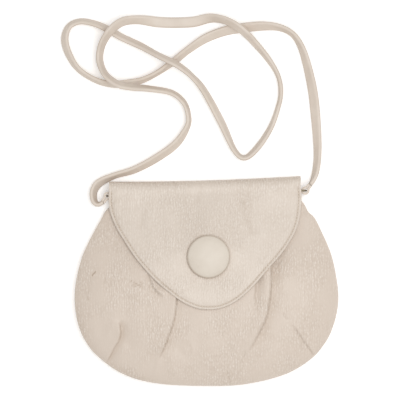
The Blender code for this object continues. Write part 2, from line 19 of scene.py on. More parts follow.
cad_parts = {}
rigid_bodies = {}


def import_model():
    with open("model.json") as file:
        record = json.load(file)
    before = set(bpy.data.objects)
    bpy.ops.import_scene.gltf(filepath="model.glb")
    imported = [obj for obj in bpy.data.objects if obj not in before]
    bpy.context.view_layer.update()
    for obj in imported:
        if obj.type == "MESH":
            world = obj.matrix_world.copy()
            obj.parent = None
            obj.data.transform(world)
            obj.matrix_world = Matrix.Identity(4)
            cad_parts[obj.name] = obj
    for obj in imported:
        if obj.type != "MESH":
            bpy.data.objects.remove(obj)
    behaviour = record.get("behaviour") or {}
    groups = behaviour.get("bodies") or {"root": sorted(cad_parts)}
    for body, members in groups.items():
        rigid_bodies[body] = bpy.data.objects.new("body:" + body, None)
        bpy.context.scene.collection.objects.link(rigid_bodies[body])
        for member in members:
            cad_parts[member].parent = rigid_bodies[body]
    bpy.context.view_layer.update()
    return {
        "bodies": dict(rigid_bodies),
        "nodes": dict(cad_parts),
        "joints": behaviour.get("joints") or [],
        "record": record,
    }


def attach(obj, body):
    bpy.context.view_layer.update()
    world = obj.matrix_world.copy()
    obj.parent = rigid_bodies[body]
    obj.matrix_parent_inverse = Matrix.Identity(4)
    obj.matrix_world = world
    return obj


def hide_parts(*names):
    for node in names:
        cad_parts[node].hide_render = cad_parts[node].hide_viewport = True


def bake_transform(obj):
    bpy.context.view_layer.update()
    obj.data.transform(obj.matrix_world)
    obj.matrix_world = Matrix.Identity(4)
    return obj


log = logging.getLogger("shoulder_bag")

MM = 0.001
# What the picture shows of the floor: its width, and where its middle lies.
PICTURE_WIDTH = 0.3588
PICTURE_CENTRE = (-0.0058, 0.0724)
# The record's bodies.
POUCH, FLAP = "pouch", "flap"
# The fold's outermost line: where it runs, how much it leans and sags, and its two ends.
FOLD_Y = 0.0918
FOLD_SLOPE = 0.028
FOLD_RADIUS = 0.0085
FOLD_SAG = 0.0015
FOLD_HALF = 0.0870
FOLD_LEFT, FOLD_RIGHT = -0.0873, 0.0842
# The leather's two skins stand this far from the seam between them.
SEAM_GAP = 0.15 * MM
LEATHER_IOR = 1.48


class Side(Enum):
    """Left or right of the bag, seen from its front."""

    LEFT = -1.0
    RIGHT = 1.0


# Small tools


def linear(code: str) -> tuple[float, float, float, float]:
    """Turns an sRGB hex colour into linear light.

    Args:
        code: six hex digits.

    Returns:
        Red, green, blue and an alpha of 1.
    """
    parts = [int(code[i:i + 2], 16) / 255.0 for i in (0, 2, 4)]
    flat = [p / 12.92 if p <= 0.04045 else ((p + 0.055) / 1.055) ** 2.4 for p in parts]
    return (flat[0], flat[1], flat[2], 1.0)


def ease(value: np.ndarray | float) -> np.ndarray | float:
    """Eased step from 0 to 1."""
    t = np.clip(value, 0.0, 1.0)
    return t * t * (3.0 - 2.0 * t)


def round_fold(u: np.ndarray, v: np.ndarray, share: float) -> tuple[np.ndarray, np.ndarray]:
    """Leads a panel's first rows round the fold.

    Args:
        u: -1 to 1 across.
        v: 0 to 1 down.
        share: the share of the rows that go round.

    Returns:
        X on the fold, and how far each row has turned, in radians.
    """
    fold_x = FOLD_LEFT + (u + 1.0) / 2.0 * (FOLD_RIGHT - FOLD_LEFT)
    return fold_x, np.clip(v / share, 0.0, 1.0) * np.pi / 2.0


def bell(distance: np.ndarray, width: float) -> np.ndarray:
    """Bell curve: 1 where the distance is 0, and fading over a width."""
    return np.exp(-((distance / width) ** 2))


def fold_line(x: np.ndarray) -> np.ndarray:
    """Y of the fold's outermost line, which sags a little between its corners."""
    return FOLD_Y - 0.3 * MM + (FOLD_SLOPE + 0.002) * x - FOLD_SAG * (1.0 - (x / FOLD_HALF) ** 2)


def smooth_path(points: Iterable[tuple[float, ...]], steps: int = 8) -> np.ndarray:
    """Runs a smooth curve through points.

    Args:
        points: the places it goes through.
        steps: how many pieces each span gets.

    Returns:
        One row for each point of the curve.
    """
    given = [np.array(p, dtype=float) for p in points]
    padded = [2 * given[0] - given[1], *given, 2 * given[-1] - given[-2]]
    fine = []
    for a, b, c, d in zip(padded, padded[1:], padded[2:], padded[3:]):
        for i in range(steps):
            t = i / steps
            fine.append(0.5 * (2 * b + (c - a) * t + (2 * a - 5 * b + 4 * c - d) * t**2
                               + (3 * b - a - 3 * c + d) * t**3))
    fine.append(given[-1])
    return np.array(fine)


def run_along(path: np.ndarray) -> np.ndarray:
    """Length of a path up to each of its points."""
    steps = np.linalg.norm(np.diff(path, axis=0), axis=1)
    return np.concatenate([[0.0], np.cumsum(steps)])


def walk(path: np.ndarray, shares: np.ndarray) -> np.ndarray:
    """Places on a path at shares of its length.

    Args:
        path: rows of points.
        shares: numbers from 0 to 1.

    Returns:
        One row for each share.
    """
    run = run_along(path)
    return np.stack([np.interp(shares * run[-1], run, column) for column in path.T], axis=-1)


def beside(path: np.ndarray, x: np.ndarray, y: np.ndarray) -> tuple[np.ndarray, np.ndarray]:
    """Measures places against a path.

    Args:
        path: rows of X and Y.
        x: places' X.
        y: places' Y.

    Returns:
        Signed distance, positive on the path's left, and the share of its length that is nearest.
    """
    nearest = np.full(x.shape, 1e9)
    signed = np.full(x.shape, 1e9)
    share = np.zeros(x.shape)
    run = run_along(path)
    for i, (a, b) in enumerate(zip(path, path[1:])):
        d = b - a
        t = np.clip(((x - a[0]) * d[0] + (y - a[1]) * d[1]) / max(d @ d, 1e-18), 0.0, 1.0)
        dx, dy = x - (a[0] + t * d[0]), y - (a[1] + t * d[1])
        distance = np.hypot(dx, dy)
        closer = distance < nearest
        turn = np.sign(d[0] * dy - d[1] * dx)
        nearest = np.where(closer, distance, nearest)
        signed = np.where(closer, distance * np.where(turn == 0.0, 1.0, turn), signed)
        share = np.where(closer, (run[i] + t * (run[i + 1] - run[i])) / run[-1], share)
    return signed, share


def shade(mesh: bpy.types.Mesh, name: str, values: np.ndarray) -> None:
    """Keeps one number for each point of a mesh, for its material to read."""
    layer = mesh.attributes.new(name, "FLOAT", "POINT")
    layer.data.foreach_set("value", np.asarray(values, dtype=np.float32))


def baked(bm: bmesh.types.BMesh, name: str) -> bpy.types.Mesh:
    """Turns an edit mesh into a named mesh and frees it.

    Args:
        bm: the edit mesh.
        name: the mesh's name.

    Returns:
        The mesh.
    """
    mesh = bpy.data.meshes.new(name)
    bm.to_mesh(mesh)
    bm.free()
    return mesh


def put(name: str, data: bpy.types.ID) -> bpy.types.Object:
    """Puts a mesh, a lamp or a camera in the scene.

    Args:
        name: the object's name.
        data: what it shows.

    Returns:
        The object.
    """
    made = bpy.data.objects.new(name, data)
    bpy.context.scene.collection.objects.link(made)
    return made


def finish_piece(mesh: bpy.types.Mesh, body: str, finish: bpy.types.Material,
                 nodes: Iterable[str] = (), wall: float = 0.0) -> bpy.types.Object:
    """Puts a mesh in the scene as a piece of the bag with the same name.

    Args:
        mesh: its shape, in place.
        body: the CAD body that it moves with, or nothing if it moves with none.
        finish: its material.
        nodes: the CAD nodes that it stands for.
        wall: how thick it gets, inwards, if its mesh is only its outer side.

    Returns:
        The new object.
    """
    mesh.materials.clear()
    mesh.materials.append(finish)
    mesh.shade_smooth()
    piece = put(mesh.name, mesh)
    if nodes:
        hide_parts(*nodes)
    if body:
        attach(piece, body)
    if wall:
        modifier(piece, "SOLIDIFY", thickness=wall, offset=-1.0)
    log.info("%s: %d faces on %s", mesh.name, len(mesh.polygons), body or "both sides of the fold")
    return piece


def modifier(piece: bpy.types.Object, kind: str, **settings: object) -> bpy.types.Modifier:
    """Adds a modifier.

    Args:
        piece: the piece that gets it.
        kind: its type.
        settings: its own properties.

    Returns:
        The modifier.
    """
    made = piece.modifiers.new(kind.lower(), kind)
    for key, value in settings.items():
        setattr(made, key, value)
    return made


def moulded_grid(name: str, columns: int, rows: int, shape: Callable, up: float = 1.0) -> bpy.types.Mesh:
    """A fine flat grid drawn into the shape of a leather panel.

    Args:
        name: the mesh's name.
        columns: how many cells across.
        rows: how many cells down.
        shape: gives arrays of X, Y, Z and of named marks from arrays of u and v, each -1 to 1 and 0 to 1.
        up: 1 if its outer side looks up, -1 if down.

    Returns:
        The mesh.
    """
    bm = bmesh.new()
    bmesh.ops.create_grid(bm, x_segments=columns, y_segments=rows, size=1.0)
    for vert in bm.verts:
        vert.co.y = -vert.co.y
    mesh = bpy.data.meshes.new(name)
    bm.to_mesh(mesh)
    flat = np.empty(len(bm.verts) * 3, dtype=np.float32)
    mesh.vertices.foreach_get("co", flat)
    flat = flat.reshape(-1, 3).astype(float)
    x, y, z, marks = shape(flat[:, 0], (flat[:, 1] + 1.0) / 2.0)
    mesh.vertices.foreach_set("co", np.stack([x, y, z], axis=-1).ravel().astype(np.float32))
    bm.clear()
    bm.from_mesh(mesh)
    bmesh.ops.remove_doubles(bm, verts=bm.verts, dist=1e-6)
    bm.normal_update()
    if sum(face.normal.z * face.calc_area() for face in bm.faces) * up < 0.0:
        bmesh.ops.reverse_faces(bm, faces=bm.faces)
    if len(bm.verts) != len(mesh.vertices):
        log.warning("%s: some grid points meet, so its marks are left out", name)
        marks = {}
    bm.to_mesh(mesh)
    bm.free()
    mesh.update()
    for key, values in marks.items():
        shade(mesh, key, values)
    return mesh


def crowd(share: np.ndarray, strength: float = 0.9) -> np.ndarray:
    """Draws evenly spaced shares from -1 to 1 closer together towards both ends."""
    return np.sin(np.pi / 2 * strength * share) / math.sin(math.pi / 2 * strength)


def crowd_down(share: np.ndarray, strength: float = 0.75) -> np.ndarray:
    """Draws evenly spaced shares from 0 to 1 closer together towards both ends."""
    return (crowd(2.0 * share - 1.0, strength) + 1.0) / 2.0


def on_rim(u: np.ndarray, v: np.ndarray) -> np.ndarray:
    """Whether a panel's point lies on its outline: at either side or at the bottom."""
    return (np.abs(u) >= 0.9999) | (v >= 0.9999)


# Finishes


@dataclass(frozen=True)
class NodeKit:
    """The node tree of one material.

    A Map Range node is fed by number: 1 and 2 are the range it reads, 3 and 4 the range that it gives.
    """

    tree: bpy.types.NodeTree

    def add(self, kind: str, links: dict[str | int, object] | None = None,
            **settings: object) -> bpy.types.Node:
        """Adds a node.

        Args:
            kind: its type, without ShaderNode.
            links: what its inputs are fed.
            settings: its own properties.

        Returns:
            The node.
        """
        node = self.tree.nodes.new(f"ShaderNode{kind}")
        for key, value in settings.items():
            setattr(node, key, value)
        self.feed(node, links or {})
        return node

    def feed(self, node: bpy.types.Node, links: dict[str | int, object]) -> None:
        """Fills a node's inputs.

        Args:
            node: the node.
            links: for each input a plain value, a socket to link, or a node for its first output.
        """
        for key, value in links.items():
            if isinstance(value, bpy.types.Node):
                value = next(socket for socket in value.outputs if socket.enabled)
            if isinstance(value, bpy.types.NodeSocket):
                self.tree.links.new(value, node.inputs[key])
            else:
                node.inputs[key].default_value = value


@dataclass(frozen=True)
class Finish:
    """What a surface is made of."""

    name: str

    def look(self, kit: NodeKit, place: bpy.types.NodeSocket) -> dict[str, object]:
        """Draws the finish.

        Args:
            kit: the material's nodes.
            place: where each point lies, in metres.

        Returns:
            What the shader's inputs are fed.
        """
        raise NotImplementedError

    def build(self) -> bpy.types.Material:
        """Makes the material.

        Returns:
            The material.
        """
        made = bpy.data.materials.new(self.name)
        made.use_nodes = True
        kit = NodeKit(made.node_tree)
        place = kit.add("TexCoord").outputs["Object"]
        kit.feed(kit.tree.nodes["Principled BSDF"], self.look(kit, place))
        return made


@dataclass(frozen=True)
class PebbledLeather(Finish):
    """Soft drummed cowhide, cream, with a fine pebble and long vertical creases.

    Drumming lifts the grain into small soft pillows. To the eye this gives a broken sheen with no broad
    highlight: the pillows' tops carry a painted highlight, and their valleys and the creases a painted shade.
    """

    colour: str = "d9cbbe"
    deep: str = "a58f79"
    # Colour of the painted highlight on the pebbles' tops.
    wear_and_sheen: str = "f0e8df"
    grain_mm: float = 1.5
    rib_mm: float = 2.3
    quiet: float = 0.15
    roughness: float = 0.44
    # Uneven dye lies in patches some 33 mm across, and the hide is looser in patches some 29 mm across.
    dye_scale: float = 30.0
    loose_scale: float = 34.0
    rib_height: float = 0.11 * MM
    pebble_height: float = 0.28 * MM

    def look(self, kit: NodeKit, place: bpy.types.NodeSocket) -> dict[str, object]:
        """Draws pebble, creases and uneven dye, with painted shade in the hollows and folds and painted
        highlights on the pebbles.

        Args:
            kit: the material's nodes.
            place: where each point lies, in metres.

        Returns:
            What the shader's inputs are fed.
        """
        # The real pebble is under a millimetre; it is drawn a little coarser so that it shows.
        pebble_space = kit.add("Mapping", {"Vector": place, "Scale": (1.0, 0.60, 1.0)}).outputs["Vector"]
        pebble = kit.add("TexVoronoi", {"Vector": pebble_space, "Scale": 1.0 / (self.grain_mm * MM)},
                         feature="F1")
        # Fine ribs run down the hide, some 2.3 mm apart. A wave has 20 turns in a unit, in radians.
        rib_space = kit.add("Mapping", {"Vector": place, "Scale": (1.0, 0.40, 1.0)}).outputs["Vector"]
        ribs = kit.add("TexWave", {"Vector": rib_space, "Scale": math.tau / 20.0 / (self.rib_mm * MM),
                                   "Distortion": 7.5, "Detail": 2.0, "Detail Scale": 1.9,
                                   "Detail Roughness": 0.6}, wave_type="BANDS", bands_direction="X")
        cloud = kit.add("TexNoise", {"Vector": place, "Scale": self.dye_scale, "Detail": 4.0,
                                     "Roughness": 0.6})
        lively = kit.add("TexNoise", {"Vector": place, "Scale": self.loose_scale, "Detail": 2.0})
        strength = kit.add("MapRange", {"Value": lively.outputs["Fac"], 1: 0.40, 2: 0.60, 3: self.quiet,
                                        4: 1.0})
        patch = kit.add("MapRange", {"Value": cloud.outputs["Fac"], 1: 0.30, 2: 0.70, 3: 0.0, 4: 0.05})
        # Painted shade in the hollows of the ribs and between the pebbles.
        painted_rib_shade = kit.add("MapRange", {"Value": ribs.outputs["Fac"], 1: 0.45, 2: 0.05, 3: 0.0, 4: 0.08})
        painted_valley_shade = kit.add("MapRange", {"Value": pebble, 1: 0.35, 2: 0.80, 3: 0.0, 4: 0.10})
        grain = kit.add("Math", {0: painted_rib_shade, 1: painted_valley_shade}, operation="ADD")
        grain = kit.add("Math", {0: grain, 1: strength}, operation="MULTIPLY")
        # The fold attribute carries painted shade in folds and grooves, round the button and along the left
        # seam, and real scuffs.
        fold = kit.add("Attribute", attribute_name="fold")
        darker = kit.add("Math", {0: patch, 1: grain}, operation="ADD")
        darker = kit.add("Math", {0: darker, 1: fold.outputs["Fac"]}, operation="ADD", use_clamp=True)
        colour = kit.add("Mix", {"Factor": darker, "A": linear(self.colour),
                                 "B": linear(self.deep)}, data_type="RGBA")
        # Painted highlight: the tops of the pebbles are drawn paler where the hide is loose.
        painted_pebble_highlight = kit.add("MapRange", {"Value": pebble, 1: 0.60, 2: 0.10, 3: 0.0, 4: 0.55})
        ridge = kit.add("MapRange", {"Value": ribs.outputs["Fac"], 1: 0.35, 2: 0.90, 3: 0.0, 4: 1.0})
        painted_pebble_highlight = kit.add("Math", {0: painted_pebble_highlight, 1: ridge}, operation="MULTIPLY")
        painted_pebble_highlight = kit.add("Math", {0: painted_pebble_highlight, 1: strength}, operation="MULTIPLY")
        colour = kit.add("Mix", {"Factor": painted_pebble_highlight, "A": colour, "B": linear(self.wear_and_sheen)}, data_type="RGBA")
        first = kit.add("Bump", {"Strength": strength, "Distance": self.rib_height,
                                 "Height": ribs.outputs["Fac"]})
        second = kit.add("Bump", {"Strength": strength, "Distance": self.pebble_height,
                                  "Height": pebble, "Normal": first},
                         invert=True)
        return {"Base Color": colour, "Roughness": self.roughness, "IOR": LEATHER_IOR, "Normal": second}


@dataclass(frozen=True)
class SmoothLeather(Finish):
    """Thin pared leather, drawn tight, so that its grain is nearly flat.

    To the eye it is an even, waxy surface, with painted shade where it turns away at its edges.
    """

    colour: str = "d9cec2"
    deep: str = "a28c76"
    roughness: float = 0.45
    grain_mm: float = 0.9
    grain_strength: float = 0.15
    grain_height: float = 0.1 * MM
    # Uneven dye lies in patches some 17 mm across.
    dye_scale: float = 60.0

    def look(self, kit: NodeKit, place: bpy.types.NodeSocket) -> dict[str, object]:
        """Draws uneven dye, painted shade at the edges and a faint grain.

        Args:
            kit: the material's nodes.
            place: where each point lies, in metres.

        Returns:
            What the shader's inputs are fed.
        """
        cloud = kit.add("TexNoise", {"Vector": place, "Scale": self.dye_scale, "Detail": 3.0})
        patch = kit.add("MapRange", {"Value": cloud.outputs["Fac"], 1: 0.35, 2: 0.65, 3: 0.0, 4: 0.12})
        # The fold attribute carries painted shade where the leather turns away at its edges.
        fold = kit.add("Attribute", attribute_name="fold")
        darker = kit.add("Math", {0: patch, 1: fold.outputs["Fac"]}, operation="ADD", use_clamp=True)
        colour = kit.add("Mix", {"Factor": darker, "A": linear(self.colour),
                                 "B": linear(self.deep)}, data_type="RGBA")
        grain = kit.add("TexVoronoi", {"Vector": place, "Scale": 1.0 / (self.grain_mm * MM)},
                        feature="SMOOTH_F1")
        bump = kit.add("Bump", {"Strength": self.grain_strength, "Distance": self.grain_height,
                                "Height": grain}, invert=True)
        return {"Base Color": colour, "Roughness": self.roughness, "IOR": LEATHER_IOR, "Normal": bump}


@dataclass(frozen=True)
class WovenLining(Finish):
    """Plain cotton lining, woven, so that its threads cross in a fine check.

    To the eye it is matt, with a faint fuzz that catches light at a low angle.
    """

    name: str = "cotton_lining"
    colour: str = "b39c82"
    deep: str = "86705a"
    # Real threads are about half as thick; they are drawn coarser so that they show.
    thread_mm: float = 0.6

    def look(self, kit: NodeKit, place: bpy.types.NodeSocket) -> dict[str, object]:
        """Draws the weave.

        Args:
            kit: the material's nodes.
            place: where each point lies, in metres.

        Returns:
            What the shader's inputs are fed.
        """
        heights = []
        for axis in ("X", "Y"):
            wave = kit.add("TexWave", {"Vector": place, "Scale": 1.0 / (self.thread_mm * MM) / 20.0,
                                       "Distortion": 0.4}, wave_type="BANDS", bands_direction=axis)
            heights.append(wave.outputs["Fac"])
        weave = kit.add("Math", {0: heights[0], 1: heights[1]}, operation="MULTIPLY")
        colour = kit.add("Mix", {"Factor": weave, "A": linear(self.deep),
                                 "B": linear(self.colour)}, data_type="RGBA")
        bump = kit.add("Bump", {"Strength": 0.4, "Distance": 0.1 * MM, "Height": weave})
        return {"Base Color": colour, "Roughness": 0.85, "Sheen Weight": 0.2, "Normal": bump}


@dataclass(frozen=True)
class AgedMetal(Finish):
    """Plated metal, tumbled, with a worn uneven sheen.

    To the eye it is soft and warm rather than mirror bright, and duller where it has tarnished.
    """

    colour: str = "9c8256"
    dull: str = "5c4a30"
    roughness: float = 0.32
    # Tarnish gathers in spots some 2.4 mm across.
    tarnish_scale: float = 420.0

    def look(self, kit: NodeKit, place: bpy.types.NodeSocket) -> dict[str, object]:
        """Draws the metal with its tarnish.

        Args:
            kit: the material's nodes.
            place: where each point lies, in metres.

        Returns:
            What the shader's inputs are fed.
        """
        tarnish = kit.add("TexNoise", {"Vector": place, "Scale": self.tarnish_scale, "Detail": 4.0})
        colour = kit.add("Mix", {"Factor": tarnish.outputs["Fac"], "A": linear(self.colour),
                                 "B": linear(self.dull)}, data_type="RGBA")
        wear_and_sheen = kit.add("MapRange", {"Value": tarnish.outputs["Fac"], 3: self.roughness - 0.08,
                                    4: self.roughness + 0.15})
        return {"Base Color": colour, "Roughness": wear_and_sheen, "Metallic": 1.0}


@dataclass(frozen=True)
class WaxedThread(Finish):
    """Waxed polyester thread, twisted, a touch lighter than the leather.

    To the eye it is a row of small pale beads with a slight sheen.
    """

    name: str = "waxed_thread"
    colour: str = "e6ddd0"
    deep: str = "d5c6b4"
    # The twist turns about every 0.4 mm.
    twist_scale: float = 2600.0

    def look(self, kit: NodeKit, place: bpy.types.NodeSocket) -> dict[str, object]:
        """Draws the twist.

        Args:
            kit: the material's nodes.
            place: where each point lies, in metres.

        Returns:
            What the shader's inputs are fed.
        """
        twist = kit.add("TexNoise", {"Vector": place, "Scale": self.twist_scale, "Detail": 1.0})
        colour = kit.add("Mix", {"Factor": twist.outputs["Fac"], "A": linear(self.colour),
                                 "B": linear(self.deep)}, data_type="RGBA")
        return {"Base Color": colour, "Roughness": 0.5}


@dataclass(frozen=True)
class GlowingPaper(Finish):
    """White paper with a little glow, as on a light table. To the eye it has no grain and stays white."""

    colour: str = "ffffff"
    glow: float = 0.22
    roughness: float = 0.9

    def look(self, kit: NodeKit, place: bpy.types.NodeSocket) -> dict[str, object]:
        """Draws plain paper.

        Args:
            kit: the material's nodes.
            place: where each point lies, in metres.

        Returns:
            What the shader's inputs are fed.
        """
        white = linear(self.colour)
        return {"Base Color": white, "Roughness": self.roughness, "Emission Color": white,
                "Emission Strength": self.glow}


# The pouch


@dataclass
class Outline:
    """A panel's outline: two halves that run from its top corners down to where they meet."""

    left_mm: tuple[tuple[float, float], ...]
    right_mm: tuple[tuple[float, float], ...]
    # The grid's lower corners stand at this share of either half.
    corner: float = 0.66

    def __post_init__(self) -> None:
        """Draws the two halves."""
        self.left = smooth_path(self.left_mm) * MM
        self.right = smooth_path(self.right_mm) * MM

    def place(self, u: np.ndarray, v: np.ndarray) -> tuple[np.ndarray, np.ndarray]:
        """Place on a panel inside the outline.

        Args:
            u: -1 to 1 across.
            v: 0 at the mouth to 1 at the bottom.

        Returns:
            Arrays of X and Y.
        """
        across = ((u + 1.0) / 2.0)[:, None]
        down = v[:, None]
        left = walk(self.left, v * self.corner)
        right = walk(self.right, v * self.corner)
        top = self.left[0] + (self.right[0] - self.left[0]) * across
        reach = 1.0 - np.abs(u) * (1.0 - self.corner)
        bottom = np.where((u < 0.0)[:, None], walk(self.left, reach), walk(self.right, reach))
        low_left = walk(self.left, np.full(u.shape, self.corner))
        low_right = walk(self.right, np.full(u.shape, self.corner))
        low = low_left + (low_right - low_left) * across
        straight = top + (low - top) * down
        at = top + (bottom - top) * down + left + (right - left) * across - straight
        return at[:, 0], at[:, 1]


@dataclass
class PouchShape(Outline):
    """Outline and height of the pouch, as it lies."""

    # Where it is widest, its mouth and its bottom, along Y.
    widest_y: float = -0.0130
    mouth_y: float = 0.0738
    bottom_y: float = -0.0942
    # The seam's height low down and at the mouth, and how far the leather stands above or below it.
    seam_height: float = 0.0100
    mouth_seam_height: float = 0.0052
    seam_wall: float = 0.0014
    # How far the front rises over that in its middle, and the share of it that is left at the mouth.
    rise: float = 0.0220
    mouth_rise: float = 0.26
    # The back lies flat where it has risen no more than this share.
    flat_share: float = 0.06
    # From here up, and over this length, its rows come to slant like the fold.
    slant_from: float = 0.035
    slant_over: float = 0.0388
    left_mm: tuple[tuple[float, float], ...] = (
        (-82.0, 71.5), (-86.5, 66.5), (-91.0, 61.6), (-93.9, 56.2), (-100.0, 45.5), (-105.6, 34.7),
        (-110.6, 23.9), (-113.9, 13.2), (-116.4, 2.4), (-117.8, -8.3), (-118.0, -19.1), (-116.9, -29.9),
        (-114.4, -40.6), (-109.9, -51.4), (-102.7, -62.2), (-97.3, -67.5), (-91.0, -72.9), (-83.6, -78.3),
        (-74.0, -83.7), (-58.8, -89.1), (-38.0, -92.6), (-16.0, -93.9), (4.0, -94.1),
    )
    right_mm: tuple[tuple[float, float], ...] = (
        (82.0, 76.1), (86.0, 70.6), (88.6, 67.0), (91.4, 61.6), (97.0, 56.2), (102.4, 45.5), (107.4, 34.7),
        (111.6, 23.9), (114.4, 13.2), (116.4, 2.4), (117.8, -8.3), (117.9, -19.1), (116.4, -29.9),
        (113.4, -40.6), (108.8, -51.4), (101.3, -62.2), (96.4, -67.5), (89.6, -72.9), (81.4, -78.3),
        (70.4, -83.7), (52.5, -89.1), (32.0, -92.9), (16.0, -94.0), (4.0, -94.1),
    )

    def fullness(self, x: np.ndarray, y: np.ndarray, side: float = 2.4, root: float = 0.55,
                 end: float = 3.2) -> np.ndarray:
        """How far the padded pouch has risen: 0 at its outline, 1 in its middle.

        Args:
            x: places' X.
            y: places' Y.
            side: how square it stands towards its sides.
            root: how steeply it rises from its outline.
            end: how square it stands towards its bottom.

        Returns:
            Shares of the full rise.
        """
        rows = np.clip(y - FOLD_SLOPE * x * ease((y - self.slant_from) / self.slant_over),
                       self.bottom_y, self.mouth_y)
        low = -np.interp(-y, -self.left[:, 1], -self.left[:, 0])
        high = np.interp(-y, -self.right[:, 1], self.right[:, 0])
        middle, half = (low + high) / 2.0, np.maximum((high - low) / 2.0, 1e-5)
        across = np.clip(np.abs(x - middle) / half, 0.0, 1.0)
        down = np.clip((self.mouth_y - rows) / (self.mouth_y - self.bottom_y), 0.0, 1.0)
        return (1.0 - across**side) ** root * (1.0 - down**end) ** root

    def seam(self, y: np.ndarray) -> np.ndarray:
        """Height of the seam that joins front and back."""
        share = ease((y - self.widest_y) / (self.mouth_y - self.widest_y))
        return self.seam_height + (self.mouth_seam_height - self.seam_height) * share

    def front(self, x: np.ndarray, y: np.ndarray) -> np.ndarray:
        """Height of the front's outer side, without its folds."""
        opening = self.mouth_rise + (1.0 - self.mouth_rise) * ease(
            (self.mouth_y - y) / (self.mouth_y - self.widest_y))
        return self.seam(y) + self.seam_wall + self.rise * opening * self.fullness(x, y)

    def back(self, x: np.ndarray, y: np.ndarray) -> np.ndarray:
        """Height of the back's outer side: flat, turned up along the seam."""
        rim = 1.0 - self.fullness(x, y, 8.0, 0.5, 8.0)
        return (self.seam(y) - self.seam_wall) * np.clip(
            (rim - self.flat_share) / (1.0 - self.flat_share), 0.0, 1.0)


@dataclass(frozen=True)
class Fold:
    """A fold of the front: leather on one side lies over the other. Lengths are in millimetres."""

    path_mm: tuple[tuple[float, float], ...]
    # The upper side's swelling, and the lower side's dip.
    lift: float = 0.0
    spread: float = 9.0
    tuck: float = 0.0
    tuck_spread: float = 4.0
    # The step between them, and how far the upper side leans over it.
    edge: float = 0.9
    lap: float = 0.0
    lap_reach: float = 2.2
    # The dark line in the fold, dirt with painted shade, and the softer painted shade beside it.
    ink: float = 0.5
    ink_width: float = 0.7
    painted_shade: float = 0.0
    painted_shade_width: float = 6.0
    # Shares of its length over which it comes and goes.
    fade_in: float = 0.1
    fade_out: float = 0.25
    # 1 if the path's left side is the upper one, -1 if its right side is.
    over: float = 1.0

    def apply(self, x: np.ndarray, y: np.ndarray) -> tuple[np.ndarray, np.ndarray, np.ndarray, np.ndarray]:
        """Works the fold into a panel.

        Args:
            x: places' X.
            y: places' Y.

        Returns:
            Sideways shifts in X and Y, the change in height and the darkness in the fold: dirt with painted
            shade.
        """
        path = smooth_path(self.path_mm) * MM
        signed, share = beside(path, x, y)
        signed = signed / MM * self.over
        ahead = path[-1] - path[-2]
        past = (x - path[-1][0]) * ahead[0] + (y - path[-1][1]) * ahead[1]
        shown = ease(share / self.fade_in) * ease((1.0 - share) / self.fade_out) * (past <= 0.0)
        step = ease(signed / self.edge + 0.5)
        on_top = self.lift * bell(np.maximum(signed, 0.0), self.spread) * step
        below = self.tuck * bell(np.maximum(-signed, 0.0), self.tuck_spread) * (1.0 - step)
        slope = (path[-1] - path[0]) / np.linalg.norm(path[-1] - path[0])
        shift = -self.over * self.lap * MM * shown * step * bell(signed, self.lap_reach)
        # Painted shade: a dark line in the fold, with its dirt, and a softer painted shade on the lower side.
        ink = self.ink * bell(signed + 0.3 * self.edge, self.ink_width)
        painted_shade = self.painted_shade * bell(np.minimum(signed, 0.0), self.painted_shade_width) * (1.0 - step)
        height = shown * (on_top - below) * MM
        return -slope[1] * shift, slope[0] * shift, height, shown * np.maximum(ink, painted_shade)


@dataclass(frozen=True)
class Dimple:
    """A soft dent of the leather along a short line, or with less than no depth a swelling.

    Lengths are in millimetres.
    """

    start: tuple[float, float]
    end: tuple[float, float]
    depth: float
    width: float

    def height(self, x: np.ndarray, y: np.ndarray) -> np.ndarray:
        """Change in height at each place."""
        signed, _ = beside(np.array([self.start, self.end]) * MM, x, y)
        return -self.depth * MM * bell(signed, self.width * MM)


@dataclass(frozen=True)
class Mark:
    """A darker mark along a short line, with lengths in millimetres: a real scuff, or painted shade in a soft
    crease.
    """

    start: tuple[float, float]
    end: tuple[float, float]
    dark: float
    width: float = 0.55

    def ink(self, x: np.ndarray, y: np.ndarray) -> np.ndarray:
        """Darkness at each place."""
        signed, _ = beside(np.array([self.start, self.end]) * MM, x, y)
        return self.dark * bell(signed, self.width * MM)


@dataclass(frozen=True)
class Ripple:
    """A low wave of the leather that sways from side to side, with lengths in millimetres."""

    height: float
    length: float
    sway: float
    sway_length: float
    start: float = 0.0

    def at(self, along: np.ndarray, across: np.ndarray) -> np.ndarray:
        """Change in height at each place."""
        sway = self.sway * np.sin(across / (self.sway_length * MM))
        return self.height * MM * np.sin(along / (self.length * MM) + sway + self.start)


def relief_of(x: np.ndarray, y: np.ndarray, dimples: Iterable[Dimple],
              ripples: Iterable[Ripple]) -> np.ndarray:
    """Change in height from dents and ripples together.

    Args:
        x: places' X.
        y: places' Y.
        dimples: the dents.
        ripples: the ripples, which run along X.

    Returns:
        Heights.
    """
    return sum(dimple.height(x, y) for dimple in dimples) + sum(ripple.at(x, y) for ripple in ripples)


